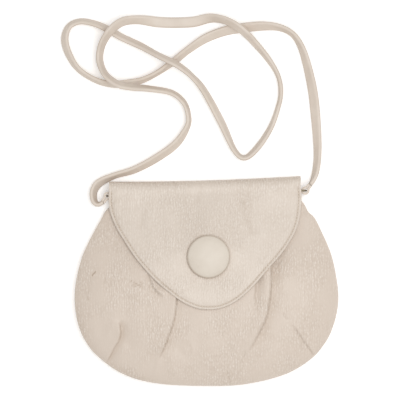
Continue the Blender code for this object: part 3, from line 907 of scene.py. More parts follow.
@dataclass
class Pouch:
    """Front and back of the pouch, and its lining."""

    shape: PouchShape
    leather: float = 1.6 * MM
    snap_centre: tuple[float, float] = (0.0018, 0.0219)
    button_radius: float = 0.0190
    folds: tuple[Fold, ...] = (
        Fold(((-26.0, 12.0), (-26.4, -4.0), (-26.9, -15.5), (-28.4, -30.8), (-32.9, -46.0), (-39.6, -62.5),
              (-44.6, -73.0)),
             lift=1.9, spread=15.0, tuck=1.3, tuck_spread=11.0, edge=1.9, lap=0.4, ink=0.50, ink_width=0.60,
             fade_in=0.3, fade_out=0.18, over=-1.0, painted_shade=0.07, painted_shade_width=8.0),
        Fold(((57.4, 30.0), (57.4, 12.3), (57.2, -5.7), (53.4, -30.8), (43.8, -51.4), (36.5, -64.0),
              (33.2, -74.0)),
             lift=2.5, spread=10.0, tuck=1.6, tuck_spread=9.0, edge=2.0, lap=0.4, ink=0.36, ink_width=0.65,
             fade_in=0.15, fade_out=0.35, over=-1.0, painted_shade=0.20, painted_shade_width=9.0),
        Fold(((44.4, 20.0), (43.9, -2.1), (43.0, -14.0), (42.0, -24.0), (40.6, -33.0)),
             lift=0.1, spread=3.0, tuck=1.8, tuck_spread=6.0, edge=1.8, ink=0.38, ink_width=0.9,
             fade_in=0.2, fade_out=0.5, over=-1.0, painted_shade=0.16, painted_shade_width=5.0),
        Fold(((-92.0, -80.0), (-88.4, -71.1), (-82.6, -60.0), (-77.4, -51.4), (-76.6, -44.0), (-78.9, -34.5)),
             lift=1.2, spread=7.0, tuck=1.5, tuck_spread=5.0, edge=1.2, ink=0.42, ink_width=0.5,
             fade_in=0.10, fade_out=0.12, painted_shade=0.22, painted_shade_width=3.2),
        Fold(((99.0, -70.5), (94.4, -63.7), (86.0, -52.0), (77.4, -39.4), (75.6, -35.0)),
             lift=0.5, spread=5.0, tuck=0.6, tuck_spread=4.0, edge=0.7, ink=0.38, ink_width=0.40,
             fade_in=0.02, fade_out=0.25, over=-1.0),
        Fold(((-51.0, 8.0), (-49.8, 1.0), (-46.5, -6.5), (-40.0, -12.6), (-35.0, -15.5)),
             lift=1.6, spread=3.4, tuck=1.0, tuck_spread=4.0, edge=1.4, ink=0.24, ink_width=0.7,
             fade_in=0.05, fade_out=0.4, painted_shade=0.12, painted_shade_width=4.0),
        Fold(((-80.0, -55.0), (-77.2, -49.0), (-77.0, -41.0)),
             lift=0.5, spread=3.0, tuck=0.6, tuck_spread=3.0, edge=1.6, ink=0.34, ink_width=1.3,
             fade_in=0.4, fade_out=0.4, painted_shade=0.10, painted_shade_width=4.0),
        Fold(((36.2, -62.0), (33.4, -67.5), (32.4, -74.0), (33.8, -80.0)),
             lift=0.3, spread=3.0, tuck=0.3, tuck_spread=2.5, edge=1.3, ink=0.22, ink_width=0.6,
             fade_in=0.3, fade_out=0.5),
        Fold(((-17.0, -52.0), (-13.4, -60.0), (-14.0, -70.0)),
             lift=0.2, spread=3.0, tuck=0.2, tuck_spread=2.5, edge=1.3, ink=0.14, ink_width=0.6,
             fade_in=0.4, fade_out=0.5),
        Fold(((68.4, -27.0), (71.6, -33.0), (74.0, -31.0)),
             lift=0.2, spread=2.0, tuck=0.2, tuck_spread=2.0, edge=1.0, ink=0.24, ink_width=0.6,
             fade_in=0.3, fade_out=0.3),
        Fold(((18.6, -78.0), (19.6, -83.0), (22.2, -92.0)),
             lift=0.2, spread=3.0, tuck=0.3, tuck_spread=2.0, edge=1.0, ink=0.25, ink_width=0.5,
             fade_in=0.3, fade_out=0.05),
    )
    dimples: tuple[Dimple, ...] = (
        Dimple((66.0, 28.0), (60.0, 5.0), 0.9, 4.5),
        Dimple((74.0, 18.0), (69.0, -8.0), -0.5, 5.0),
        Dimple((-26.0, -60.0), (-19.0, -68.0), 0.5, 3.2),
        Dimple((-34.0, -66.0), (-30.0, -80.0), -0.5, 4.5),
        Dimple((33.0, -66.0), (38.0, -74.0), 0.5, 3.0),
        Dimple((0.0, -34.0), (2.0, -74.0), -0.7, 12.0),
        Dimple((14.0, -30.0), (20.0, -66.0), 0.5, 6.0),
        Dimple((-18.0, -30.0), (-22.0, -56.0), 0.5, 6.0),
        Dimple((70.0, -18.0), (62.0, -52.0), 0.6, 7.0),
        Dimple((-58.0, -16.0), (-56.0, -52.0), -0.5, 10.0),
        Dimple((-96.0, 10.0), (-98.0, -40.0), -0.3, 8.0),
        Dimple((88.0, 10.0), (92.0, -40.0), -0.4, 8.0),
        Dimple((-74.0, -42.0), (-70.0, -56.0), 0.6, 4.0),
        Dimple((80.0, 46.0), (84.0, 30.0), 0.4, 4.0),
        Dimple((-43.0, -70.0), (-45.5, -82.0), -0.5, 2.4),
        Dimple((-84.0, -36.0), (-88.0, -50.0), -0.5, 4.0),
        Dimple((-100.0, -22.0), (-94.0, -44.0), 0.5, 5.0),
    )
    scuffs: tuple[Mark, ...] = (
        Mark((-101.9, 5.0), (-99.2, 8.4), 0.9), Mark((-67.0, 0.2), (-65.0, -0.8), 0.5),
        Mark((-64.2, -1.4), (-62.4, -2.6), 0.6), Mark((-61.0, -3.2), (-58.8, -4.6), 0.6),
        Mark((-66.0, -3.4), (-63.0, -5.0), 0.4), Mark((-59.4, -0.4), (-57.6, -2.0), 0.4),
        Mark((-90.6, 2.8), (-90.2, -1.6), 0.3), Mark((-106.4, -14.0), (-105.4, -17.0), 0.35),
    )
    ripples: tuple[Ripple, ...] = (Ripple(0.12, 5.3, 1.3, 21.0, 0.6), Ripple(0.10, 3.1, -0.9, 13.0, 2.0))
    cross_ripple: Ripple = Ripple(0.12, 9.0, 1.2, 17.0)
    pucker: Ripple = Ripple(0.35, 4.2, 1.0, 11.0)
    # The front is calm up to this height over the seam, and fully folded this much above that.
    calm_rise: float = 2.0 * MM
    calm_fade: float = 6.0 * MM
    # Painted shade darkens the turned edge along the left seam, low on the bag.
    painted_rim_shade: float = 0.16
    rim_fade: float = 9.0 * MM
    # The lining's level where the snap goes through it.
    snap_level: float = 0.0259

    def from_snap(self, x: np.ndarray, y: np.ndarray) -> np.ndarray:
        """Distance of each place from the snap's middle."""
        return np.hypot(x - self.snap_centre[0], y - self.snap_centre[1])

    def held(self, x: np.ndarray, y: np.ndarray) -> np.ndarray:
        """1 where the snap holds the front flat, and 0 away from it."""
        return 1.0 - ease((self.from_snap(x, y) - self.button_radius) / self.button_radius)

    def front_shape(self, u: np.ndarray, v: np.ndarray) -> tuple:
        """Draws the front's grid into shape.

        Args:
            u: -1 to 1 across.
            v: 0 to 1 down.

        Returns:
            Arrays of X, Y and Z and the marks for the material.
        """
        u, v = crowd(u), crowd_down(v)
        x, y = self.shape.place(u, v)
        z = self.shape.front(x, y)
        seam = self.shape.seam(y)
        room = ease((z - seam - self.calm_rise) / self.calm_fade)
        ink, dx, dy = np.zeros(x.shape), np.zeros(x.shape), np.zeros(x.shape)
        relief = self.cross_ripple.at(y, x)
        for fold in self.folds:
            aside, along, height, dark = fold.apply(x, y)
            dx, dy, relief, ink = dx + aside, dy + along, relief + height, np.maximum(ink, dark)
        relief += relief_of(x, y, self.dimples, self.ripples)
        held = self.held(x, y)
        level = self.shape.front(*np.array([self.snap_centre]).T).item()
        z = z + relief * room * (1.0 - held)
        z = np.where(on_rim(u, v), seam + SEAM_GAP, z + (level - z) * held)
        # Painted shade along the seam on the lower left. The folds' painted shade shows only where the front
        # stands clear.
        near_seam = 1.0 - ease((z - seam - 1.0 * MM) / self.rim_fade)
        lower_left = ease(-x / (70.0 * MM)) * ease((30.0 * MM - y) / (40.0 * MM))
        ink = np.maximum(ink * room, self.painted_rim_shade * near_seam * lower_left)
        for scuff in self.scuffs:
            ink = np.maximum(ink, scuff.ink(x, y))
        return x + dx * room, y + dy * room, z, {"fold": ink}

    def back_shape(self, u: np.ndarray, v: np.ndarray) -> tuple:
        """Draws the back's grid into shape, from the fold's outermost line down to the bottom.

        Args:
            u: -1 to 1 across.
            v: 0 to 1 down.

        Returns:
            Arrays of X, Y and Z and the marks for the material.
        """
        # Shares of the grid's rows that go round the fold, and that end at the mouth.
        fold_share, strip_share = 0.08, 0.15
        u = crowd(u)
        down = np.clip((v - strip_share) / (1.0 - strip_share), 0.0, 1.0)
        x, y = self.shape.place(u, crowd_down(down))
        z = np.where(on_rim(u, down), self.shape.seam(y) - SEAM_GAP, self.shape.back(x, y))
        fold_x, turn = round_fold(u, v, fold_share)
        round_y = fold_line(fold_x) - FOLD_RADIUS * (1.0 - np.cos(turn))
        round_z = FOLD_RADIUS * (1.0 - np.sin(turn))
        step = np.clip((v - fold_share) / (strip_share - fold_share), 0.0, 1.0)
        mouth_x, mouth_y = self.shape.place(u, np.zeros(u.shape))
        strip_x = fold_x + (mouth_x - fold_x) * step
        strip_y = round_y + (mouth_y - round_y) * step
        on_fold, on_strip = v <= fold_share, v <= strip_share
        x = np.where(on_fold, fold_x, np.where(on_strip, strip_x, x))
        y = np.where(on_fold, round_y, np.where(on_strip, strip_y, y))
        z = np.where(on_fold, round_z, np.where(on_strip, 0.0, z))
        # Painted shade on the leather bent round the fold.
        return x, y, np.maximum(z, 0.02 * MM), {"fold": 0.10 * (y > 0.080)}

    def lining_shape(self, drop: float, upper: bool) -> Callable:
        """Gives the shape of one half of the lining.

        Args:
            drop: how far it hangs inside the leather's outer side.
            upper: whether it lines the front.

        Returns:
            The function that draws its grid.
        """
        def draw(u: np.ndarray, v: np.ndarray) -> tuple:
            """Draws the lining's grid into shape.

            Args:
                u: -1 to 1 across.
                v: 0 to 1 down.

            Returns:
                Arrays of X, Y and Z, and no marks.
            """
            u, v = crowd(u), crowd_down(v)
            x, y = self.shape.place(u * 0.99, v * 0.99)
            seam = self.shape.seam(y)
            x = x * 0.93
            y = y + (self.shape.mouth_y - y) * 0.06
            pucker = self.pucker.at(x, y)
            if upper:
                skin = self.shape.front(x, y)
                skin = skin + (self.snap_level - skin) * self.held(x, y)
                z = np.maximum(seam + 0.5 * MM, skin - drop + pucker)
            else:
                z = np.minimum(seam - 0.5 * MM, self.shape.back(x, y) + drop + pucker)
            z = np.where(on_rim(u, v), seam + (SEAM_GAP if upper else -SEAM_GAP), z)
            return x, y, z, {}
        return draw

    def build(self, leather: bpy.types.Material, lining: bpy.types.Material) -> None:
        """Makes the front, the back and the lining.

        Args:
            leather: finish of the outside.
            lining: finish of the inside.
        """
        finish_piece(moulded_grid("front_skin", 240, 195, self.front_shape), POUCH, leather,
                     ["front_panel"], self.leather)
        back = finish_piece(moulded_grid("back_skin", 120, 120, self.back_shape, up=-1.0), "", leather,
                            ["back_panel"], self.leather)
        blend_at_fold(back)
        for name, upper, node in (("lining_front_cloth", True, "lining_front"),
                                  ("lining_back_cloth", False, "lining_back")):
            draw = self.lining_shape(self.leather + 1.6 * MM, upper)
            cloth = finish_piece(moulded_grid(name, 70, 56, draw, up=1.0 if upper else -1.0), POUCH,
                                 lining, [node], 0.6 * MM)


def blend_at_fold(piece: bpy.types.Object) -> None:
    """Bakes where a piece that spans pouch and flap stands into its mesh.

    Args:
        piece: the piece.
    """
    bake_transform(piece)


# The flap


@dataclass
class Flap:
    """The fold-over flap with its turned edge, topstitch and facing."""

    pouch: Pouch
    thickness: float = 1.6 * MM
    stitch_inset: float = 2.5 * MM
    stitch_pitch: float = 2.7 * MM
    stitch_length: float = 1.9 * MM
    stitch_radius: float = 0.36 * MM
    snap_top: float = 0.033357
    # The flap's outer side lies this far over the front's.
    lie: float = 5.3 * MM
    # How far from the fold it comes down to that, and how far from the button the button's hold lasts.
    fall: float = 0.0180
    release: float = 0.0400
    # How far to either side the leather between fold and button is drawn straight, and where that ends.
    taut_half: float = 0.0350
    taut_fade: float = 0.0450
    # How softly the straight stretch starts at the fold, and how much it bellies out on its way.
    soft_start: float = 0.10
    belly: float = 0.05
    # Share of the grid's rows that go round the fold.
    fold_share: float = 0.10
    # The turned edge: how far in it rolls over and how far down, with the stitches' groove and a low
    # swelling outside of that.
    roll: float = 1.1 * MM
    roll_drop: float = 0.9 * MM
    groove: float = 0.45 * MM
    swell: float = 0.25 * MM
    # Painted shade in the groove and on the leather bent round the fold, and the button's painted shadow in a
    # ring round it.
    painted_groove_shade: float = 0.22
    painted_fold_shade: float = 0.17
    painted_button_shadow: float = 0.38
    left_mm: tuple[tuple[float, float], ...] = (
        (-87.3, 80.6), (-87.7, 72.4), (-86.8, 64.0), (-84.4, 56.2), (-79.8, 46.0), (-73.3, 35.6),
        (-66.8, 25.6), (-59.8, 16.3), (-48.2, 3.3), (-37.4, -6.6), (-26.6, -15.1), (-19.4, -19.6),
        (-12.1, -22.9), (-5.8, -24.8), (0.6, -25.3),
    )
    right_mm: tuple[tuple[float, float], ...] = (
        (84.2, 85.4), (85.0, 78.0), (85.0, 70.6), (83.4, 57.1), (79.6, 44.6), (72.4, 32.0), (65.2, 22.4),
        (57.0, 13.2), (43.8, -2.1), (35.8, -10.2), (27.6, -17.0), (20.0, -21.4), (12.4, -24.2), (6.2, -25.2),
        (0.6, -25.3),
    )
    dimples: tuple[Dimple, ...] = (
        Dimple((33.0, 72.0), (42.0, 46.0), 0.9, 4.0),
        Dimple((24.0, 76.0), (32.0, 50.0), -0.4, 4.5),
        Dimple((46.0, 72.0), (52.0, 44.0), -0.4, 5.0),
        Dimple((-58.0, 58.0), (-55.0, 42.0), 0.5, 3.5),
        Dimple((-12.0, 84.0), (-10.0, 58.0), 0.35, 3.0),
        Dimple((4.0, 86.0), (4.0, 72.0), 0.4, 2.4),
        Dimple((-30.0, 70.0), (-32.0, 40.0), -0.3, 6.0),
    )
    # Painted shade in soft creases of the flap.
    soft_crease_shades: tuple[Mark, ...] = (
        Mark((29.0, 80.0), (36.5, 60.0), 0.11, 3.0), Mark((36.5, 60.0), (40.0, 44.0), 0.10, 2.6),
        Mark((36.8, 80.0), (39.5, 62.0), 0.09, 2.2), Mark((-4.0, 84.0), (-8.0, 70.0), 0.07, 1.6),
        Mark((-55.0, 62.0), (-58.0, 48.0), 0.07, 2.2), Mark((10.0, 82.0), (9.0, 70.0), 0.05, 1.4),
    )
    ripples: tuple[Ripple, ...] = (Ripple(0.12, 4.4, 1.1, 19.0), Ripple(0.09, 2.7, -0.8, 12.0, 1.0))

    def __post_init__(self) -> None:
        """Draws the outline and the whole edge."""
        self.outline = Outline(self.left_mm, self.right_mm)
        self.edge = np.concatenate([self.outline.left, self.outline.right[::-1][1:]])

    def height(self, x: np.ndarray, y: np.ndarray) -> np.ndarray:
        """Height of the flap's outer side.

        It is taut from the fold to the button and rests on the front around that.

        Args:
            x: places' X.
            y: places' Y.

        Returns:
            Heights.
        """
        snap_x, snap_y = self.pouch.snap_centre
        reach = self.pouch.button_radius
        foot = snap_y + reach * bell(x - snap_x, 1.1 * reach)
        top = fold_line(x) - FOLD_RADIUS
        share = np.clip((top - y) / (top - foot), 0.0, 1.0)
        start = self.soft_start
        rise = (np.sqrt(share**2 + start**2) - start) / (math.sqrt(1.0 + start**2) - start)
        rise = rise + self.belly * np.sin(np.pi * share) * share
        taut = 2.0 * FOLD_RADIUS + (self.resting(x, foot) - 2.0 * FOLD_RADIUS) * rise
        resting = self.resting(x, y)
        spans = (1.0 - ease((np.abs(x - snap_x) - self.taut_half) / self.taut_fade)) * (y > foot)
        return resting + (taut - resting) * spans

    def resting(self, x: np.ndarray, y: np.ndarray) -> np.ndarray:
        """Height of the flap's outer side where it simply follows the front under it.

        Args:
            x: places' X.
            y: places' Y.

        Returns:
            Heights.
        """
        shape = self.pouch.shape
        lying = shape.front(x, y) + self.lie
        to_fold = ease((y - fold_line(x) + FOLD_RADIUS + self.fall) / self.fall)
        away = self.pouch.from_snap(x, y) - self.pouch.button_radius
        share = np.clip(away / self.release, 0.0, 1.0)
        held = (1.0 - share) ** 1.6
        z = lying + (2.0 * FOLD_RADIUS - lying) * to_fold
        return z + (self.snap_top - z) * held

    def settle(self, inside: np.ndarray | float) -> np.ndarray | float:
        """How far the leather sinks towards the front near its edge."""
        return 1.2 * MM * (1.0 - ease(inside / (8.0 * MM)))

    def outer_shape(self, u: np.ndarray, v: np.ndarray) -> tuple:
        """Draws the flap's grid into shape.

        Args:
            u: -1 to 1 across.
            v: 0 to 1 from the fold's outermost line down.

        Returns:
            Arrays of X, Y and Z and the marks for the material.
        """
        u = crowd(u, 0.93)
        down = np.clip((v - self.fold_share) / (1.0 - self.fold_share), 0.0, 1.0)
        x, y = self.outline.place(u, crowd_down(down, 0.6))
        fold_x, turn = round_fold(u, v, self.fold_share)
        left_y, right_y = self.outline.left[0, 1], self.outline.right[0, 1]
        top_y = left_y + (u + 1.0) / 2.0 * (right_y - left_y)
        y = y + (fold_line(fold_x) - FOLD_RADIUS - top_y) * (1.0 - ease(down / 0.3))
        on_fold = v <= self.fold_share
        x = np.where(on_fold, fold_x, x)
        y = np.where(on_fold, fold_line(fold_x) - FOLD_RADIUS * (1.0 - np.cos(turn)), y)
        z = np.where(on_fold, FOLD_RADIUS * (1.0 + np.sin(turn)), self.height(x, y))
        signed, _ = beside(self.edge, x, y)
        inside = np.abs(signed)
        relief = relief_of(x, y, self.dimples, self.ripples)
        away = self.pouch.from_snap(x, y) - self.pouch.button_radius
        calm = ease((inside - 1.0 * MM) / (6.0 * MM)) * ease(away / (8.0 * MM))
        near = np.clip(inside / self.roll, 0.0, 1.0)
        edge = self.roll_drop * (1.0 - np.sqrt(np.maximum(0.0, 1.0 - (1.0 - near) ** 2)))
        edge += self.groove * bell(inside - self.stitch_inset, 0.8 * MM)
        edge += self.settle(inside) - self.swell * bell(inside - 1.3 * MM, 0.9 * MM)
        z = z + (relief * calm - edge) * ease(turn / (np.pi / 2.0))
        # Painted shade in the stitches' groove and on the leather bent round the fold.
        ink = self.painted_groove_shade * bell(inside - self.stitch_inset, 0.7 * MM) * (v > self.fold_share)
        ink += self.painted_fold_shade * ease((y - fold_line(x) + 6.0 * MM) / (6.0 * MM))
        for soft_crease_shade in self.soft_crease_shades:
            ink = np.maximum(ink, soft_crease_shade.ink(x, y))
        # Painted shadow of the button in a ring round it, darker on its left.
        ring = self.painted_button_shadow * bell(away - 0.3 * MM, 0.7 * MM)
        leftward = (self.pouch.snap_centre[0] - x) / self.pouch.button_radius
        ring *= 0.75 + 0.25 * np.clip(leftward, -1.0, 1.0)
        return x, y, z, {"fold": np.maximum(ink, ring)}

    def facing_shape(self, u: np.ndarray, v: np.ndarray) -> tuple:
        """Draws the facing under the flap, set in from its edge.

        Args:
            u: -1 to 1 across.
            v: 0 to 1 down.

        Returns:
            Arrays of X, Y and Z, and no marks.
        """
        x, y = self.outline.place(crowd(u) * 0.985, v * 0.985)
        y = y - 1.0 * MM
        z = self.height(x, y) - self.thickness - 1.1 * MM
        return x * 0.985, y, z, {}

    def stitches(self, name: str, size: tuple[float, float, float], shift: float,
                 sink: float) -> bpy.types.Mesh:
        """Makes a row of beads along the flap's edge: the stitches, or the needle holes between them.

        Args:
            name: the mesh's name.
            size: half of a bead's length, width and height.
            shift: how far along the row it stands from a stitch's middle, in stitches.
            sink: how far its middle lies under the leather's level.

        Returns:
            One mesh.
        """
        count = int(run_along(self.edge)[-1] / self.stitch_pitch)
        shares = (np.arange(count - 1) + 0.5 + shift) / count
        along = walk(self.edge, shares)
        ahead = walk(self.edge, np.minimum(shares + 0.002, 1.0))
        ahead -= walk(self.edge, np.maximum(shares - 0.002, 0.0))
        ahead /= np.linalg.norm(ahead, axis=1)[:, None]
        inner = along + np.stack([-ahead[:, 1], ahead[:, 0]], axis=-1) * self.stitch_inset
        tops = self.height(inner[:, 0], inner[:, 1])
        tips = self.height(inner[:, 0] + ahead[:, 0] * MM, inner[:, 1] + ahead[:, 1] * MM)
        bm = bmesh.new()
        for place, way, top, tip in zip(inner, ahead, tops, tips):
            level = Vector((way[0], way[1], (tip - top) / MM)).normalized()
            turn = level.to_track_quat("X", "Z").to_matrix().to_4x4()
            at = Matrix.Translation((place[0], place[1], top - sink - self.settle(self.stitch_inset)))
            bmesh.ops.create_icosphere(bm, subdivisions=1, radius=1.0,
                                       matrix=at @ turn @ Matrix.Diagonal((*size, 1.0)))
        return baked(bm, name)

    def build(self, leather: bpy.types.Material, facing: bpy.types.Material, thread: bpy.types.Material,
              hole: bpy.types.Material) -> None:
        """Makes the flap, its facing and its stitches.

        Args:
            leather: finish of the outside.
            facing: finish of the underside.
            thread: finish of the stitches.
            hole: finish of the needle holes, dark beads of painted shade.
        """
        skin = finish_piece(moulded_grid("flap_skin", 230, 170, self.outer_shape), "", leather,
                            ["flap_leather"], self.thickness)
        blend_at_fold(skin)
        finish_piece(moulded_grid("flap_facing", 90, 70, self.facing_shape), FLAP, facing,
                     ["flap_lining"], 0.8 * MM)
        thick = (self.stitch_length / 2.0, self.stitch_radius, self.stitch_radius)
        finish_piece(self.stitches("flap_topstitch", thick, 0.0, 0.26 * MM), FLAP, thread)
        # The needle holes are dark beads that paint the shade in the holes.
        holes = self.stitches("flap_needle_holes", (0.38 * MM, 0.32 * MM, 0.2 * MM), 0.5, 0.42 * MM)
        finish_piece(holes, FLAP, hole)


# The button


def spun(name: str, profile: list[tuple[float, float]], centre: tuple[float, float, float], steps: int = 96,
         turn: Matrix | None = None) -> bpy.types.Mesh:
    """Spins a profile into a turned piece.

    Args:
        name: the mesh's name.
        profile: radius and height of each point.
        centre: where its axis stands.
        steps: how many sides it gets.
        turn: how its upright axis is tilted, if it is.

    Returns:
        The mesh.
    """
    bm = bmesh.new()
    chain = [bm.verts.new((radius, 0.0, height)) for radius, height in profile]
    links = [bm.edges.new(pair) for pair in zip(chain, chain[1:])]
    if profile[0][0] > 0.0:
        links.append(bm.edges.new((chain[-1], chain[0])))
    bmesh.ops.spin(bm, geom=chain + links, cent=(0, 0, 0), axis=(0, 0, 1), dvec=(0, 0, 0),
                   angle=2.0 * math.pi, steps=steps, use_merge=True, use_normal_flip=False,
                   use_duplicate=False)
    bmesh.ops.remove_doubles(bm, verts=bm.verts, dist=1e-6)
    bmesh.ops.recalc_face_normals(bm, faces=bm.faces)
    bmesh.ops.transform(bm, verts=bm.verts,
                        matrix=Matrix.Translation(centre) @ (turn or Matrix.Identity(4)))
    return baked(bm, name)


@dataclass
class CoveredButton:
    """Large domed button covered with thin leather, and the metal in it."""

    centre: tuple[float, float] = (0.0018, 0.0219)
    base: float = 0.033657
    radius: float = 0.0190
    height: float = 0.0068
    shoulder: float = 0.0022
    wall: float = 1.2 * MM
    lip: float = 4.0 * MM
    # Painted shade where the cover turns under, in a band this wide.
    painted_rim_shade: float = 0.40
    rim_band: float = 1.6 * MM
    steps: int = 28

    def dome(self, radius: float, height: float) -> list[tuple[float, float]]:
        """Profile of a low dome that rolls over at its rim, from its top down.

        Args:
            radius: its outer radius.
            height: its top.

        Returns:
            Radius and height of each point.
        """
        rise = height - self.shoulder
        angles = [math.pi / 2.0 * i / self.steps for i in range(self.steps + 1)]
        return [(radius * math.sin(a) ** 0.94, self.shoulder + rise * math.cos(a) ** 0.9) for a in angles]

    def build(self, leather: bpy.types.Material, metal: bpy.types.Material, frame: dict) -> None:
        """Makes the cover and finishes the metal.

        Args:
            leather: finish of the cover.
            metal: finish of the cap and the plate.
            frame: the loaded frame.
        """
        outer = self.dome(self.radius, self.height)
        rim = [(self.radius, 0.9 * MM), (self.radius - 0.25 * MM, 0.25 * MM), (self.radius - 0.9 * MM, 0.0),
               (self.radius - self.lip, 0.0)]
        inner = self.dome(self.radius - self.wall, self.height - self.wall)
        lip = [(self.radius - self.lip, self.wall), (self.radius - self.wall, self.wall)]
        mesh = spun("button_leather", outer + rim + lip + inner[::-1], (*self.centre, self.base))
        radii = np.array([math.dist(v.co[:2], self.centre) for v in mesh.vertices])
        shade(mesh, "fold", self.painted_rim_shade * ease((radii - self.radius + self.rim_band) / self.rim_band))
        finish_piece(mesh, FLAP, leather, ["button_cover"])
        for node in ("button_cap", "button_back_plate", "snap_washer"):
            repaint(frame, node, metal)


def repaint(frame: dict, node: str, finish: bpy.types.Material) -> None:
    """Gives a CAD node that stays a better material.

    Args:
        frame: the loaded frame.
        node: the node's name.
        finish: its material.
    """
    for place in frame["nodes"][node].material_slots:
        place.material = finish


# The strap's ends


@dataclass
class StrapEnd:
    """Ring at one top corner, the tab that holds it and the strap's sewn eye."""

    side: Side
    # Where the strap's eye points, in degrees.
    eye_angle: float
    ring_radius: float = 0.0046
    ring_wire: float = 0.0016
    ring_x: float = 0.0845
    ring_z: float = 0.0076
    # How far its middle lies inside the fold's outermost line.
    ring_setback: float = 0.0134
    eye_height: float = 0.0064
    wall: float = 0.0021
    # The hole round the wire, and how far tab and eye stand to either side of the ring's middle.
    hole: float = 0.001650
    side_shift: float = 0.003952
    loop_steps: int = 28
    tail_steps: int = 8

    @property
    def label(self) -> str:
        """The side's name."""
        return self.side.name.lower()

    @property
    def centre(self) -> Vector:
        """The ring's centre."""
        x = self.side.value * self.ring_x
        return Vector((x, FOLD_Y - self.ring_setback + FOLD_SLOPE * x, self.ring_z))

    def loop(self, name: str, centre: Vector, angle: float, tail: float) -> bpy.types.Mesh:
        """Folded strip of leather: a loop around the ring's wire with its doubled tail.

        Args:
            name: the mesh's name.
            centre: the loop's upright axis.
            angle: where its tail points, in degrees.
            tail: the tail's length.

        Returns:
            The mesh.
        """
        bm = bmesh.new()
        strip, layer = self.hole + self.wall / 2.0, self.wall / 2.0 + 0.1 * MM
        opening = math.asin(min(0.95, layer / strip))
        turns = np.linspace(opening, 2.0 * math.pi - opening, self.loop_steps + 1)
        line = [(strip * math.cos(a), strip * math.sin(a)) for a in turns]
        reach = self.hole + self.wall + tail
        foot = strip * math.cos(opening)
        ends = [foot + (reach - foot) * i / self.tail_steps for i in range(self.tail_steps, 0, -1)]
        line = [(x, layer) for x in ends] + line + [(x, -layer) for x in ends[::-1]]
        verts = [bm.verts.new((x, y, -self.eye_height / 2.0)) for x, y in line]
        edges = [bm.edges.new(pair) for pair in zip(verts, verts[1:])]
        raised = bmesh.ops.extrude_edge_only(bm, edges=edges)
        top = [v for v in raised["geom"] if isinstance(v, bmesh.types.BMVert)]
        bmesh.ops.translate(bm, verts=top, vec=(0.0, 0.0, self.eye_height))
        upright = [edge for edge in bm.edges if abs(edge.verts[0].co.z - edge.verts[1].co.z) > 0.1 * MM]
        bmesh.ops.subdivide_edges(bm, edges=upright, cuts=6, use_grid_fill=True)
        bmesh.ops.recalc_face_normals(bm, faces=bm.faces)
        turn = Matrix.Translation(centre) @ Matrix.Rotation(math.radians(angle), 4, "Z")
        bmesh.ops.transform(bm, verts=bm.verts, matrix=turn)
        return baked(bm, name)

    def build(self, leather: bpy.types.Material, metal: bpy.types.Material) -> bpy.types.Object:
        """Makes the ring, the tab and the eye.

        Args:
            leather: finish of the tab and the eye.
            metal: finish of the ring.

        Returns:
            The eye.
        """
        wire = self.ring_wire / 2.0
        circle = [(self.ring_radius + wire * math.cos(a), wire * math.sin(a))
                  for a in [math.tau * i / 16 for i in range(16)]]
        mesh = spun(f"ring_{self.label}_wire", circle, tuple(self.centre), 48,
                    Matrix.Rotation(math.pi / 2.0, 4, "X"))
        finish_piece(mesh, f"ring_{self.label}", metal, [f"ring_{self.label}"])
        made = None
        for kind, sign, angle, tail in (("side_tab", -1.0, 90.0 + 90.0 * self.side.value, 8.0 * MM),
                                        ("strap_eye", 1.0, self.eye_angle, 3.0 * MM)):
            axis = self.centre + Vector((sign * self.side.value * self.side_shift, 0.0, 0.0))
            node = f"{kind}_{self.label}"
            made = finish_piece(self.loop(f"{node}_fold", axis, angle, tail), POUCH, leather, [node])
            modifier(made, "SOLIDIFY", thickness=self.wall - 0.1 * MM, offset=0.0)
            modifier(made, "BEVEL", width=0.3 * MM, segments=2, limit_method="ANGLE")
        return made


# The strap


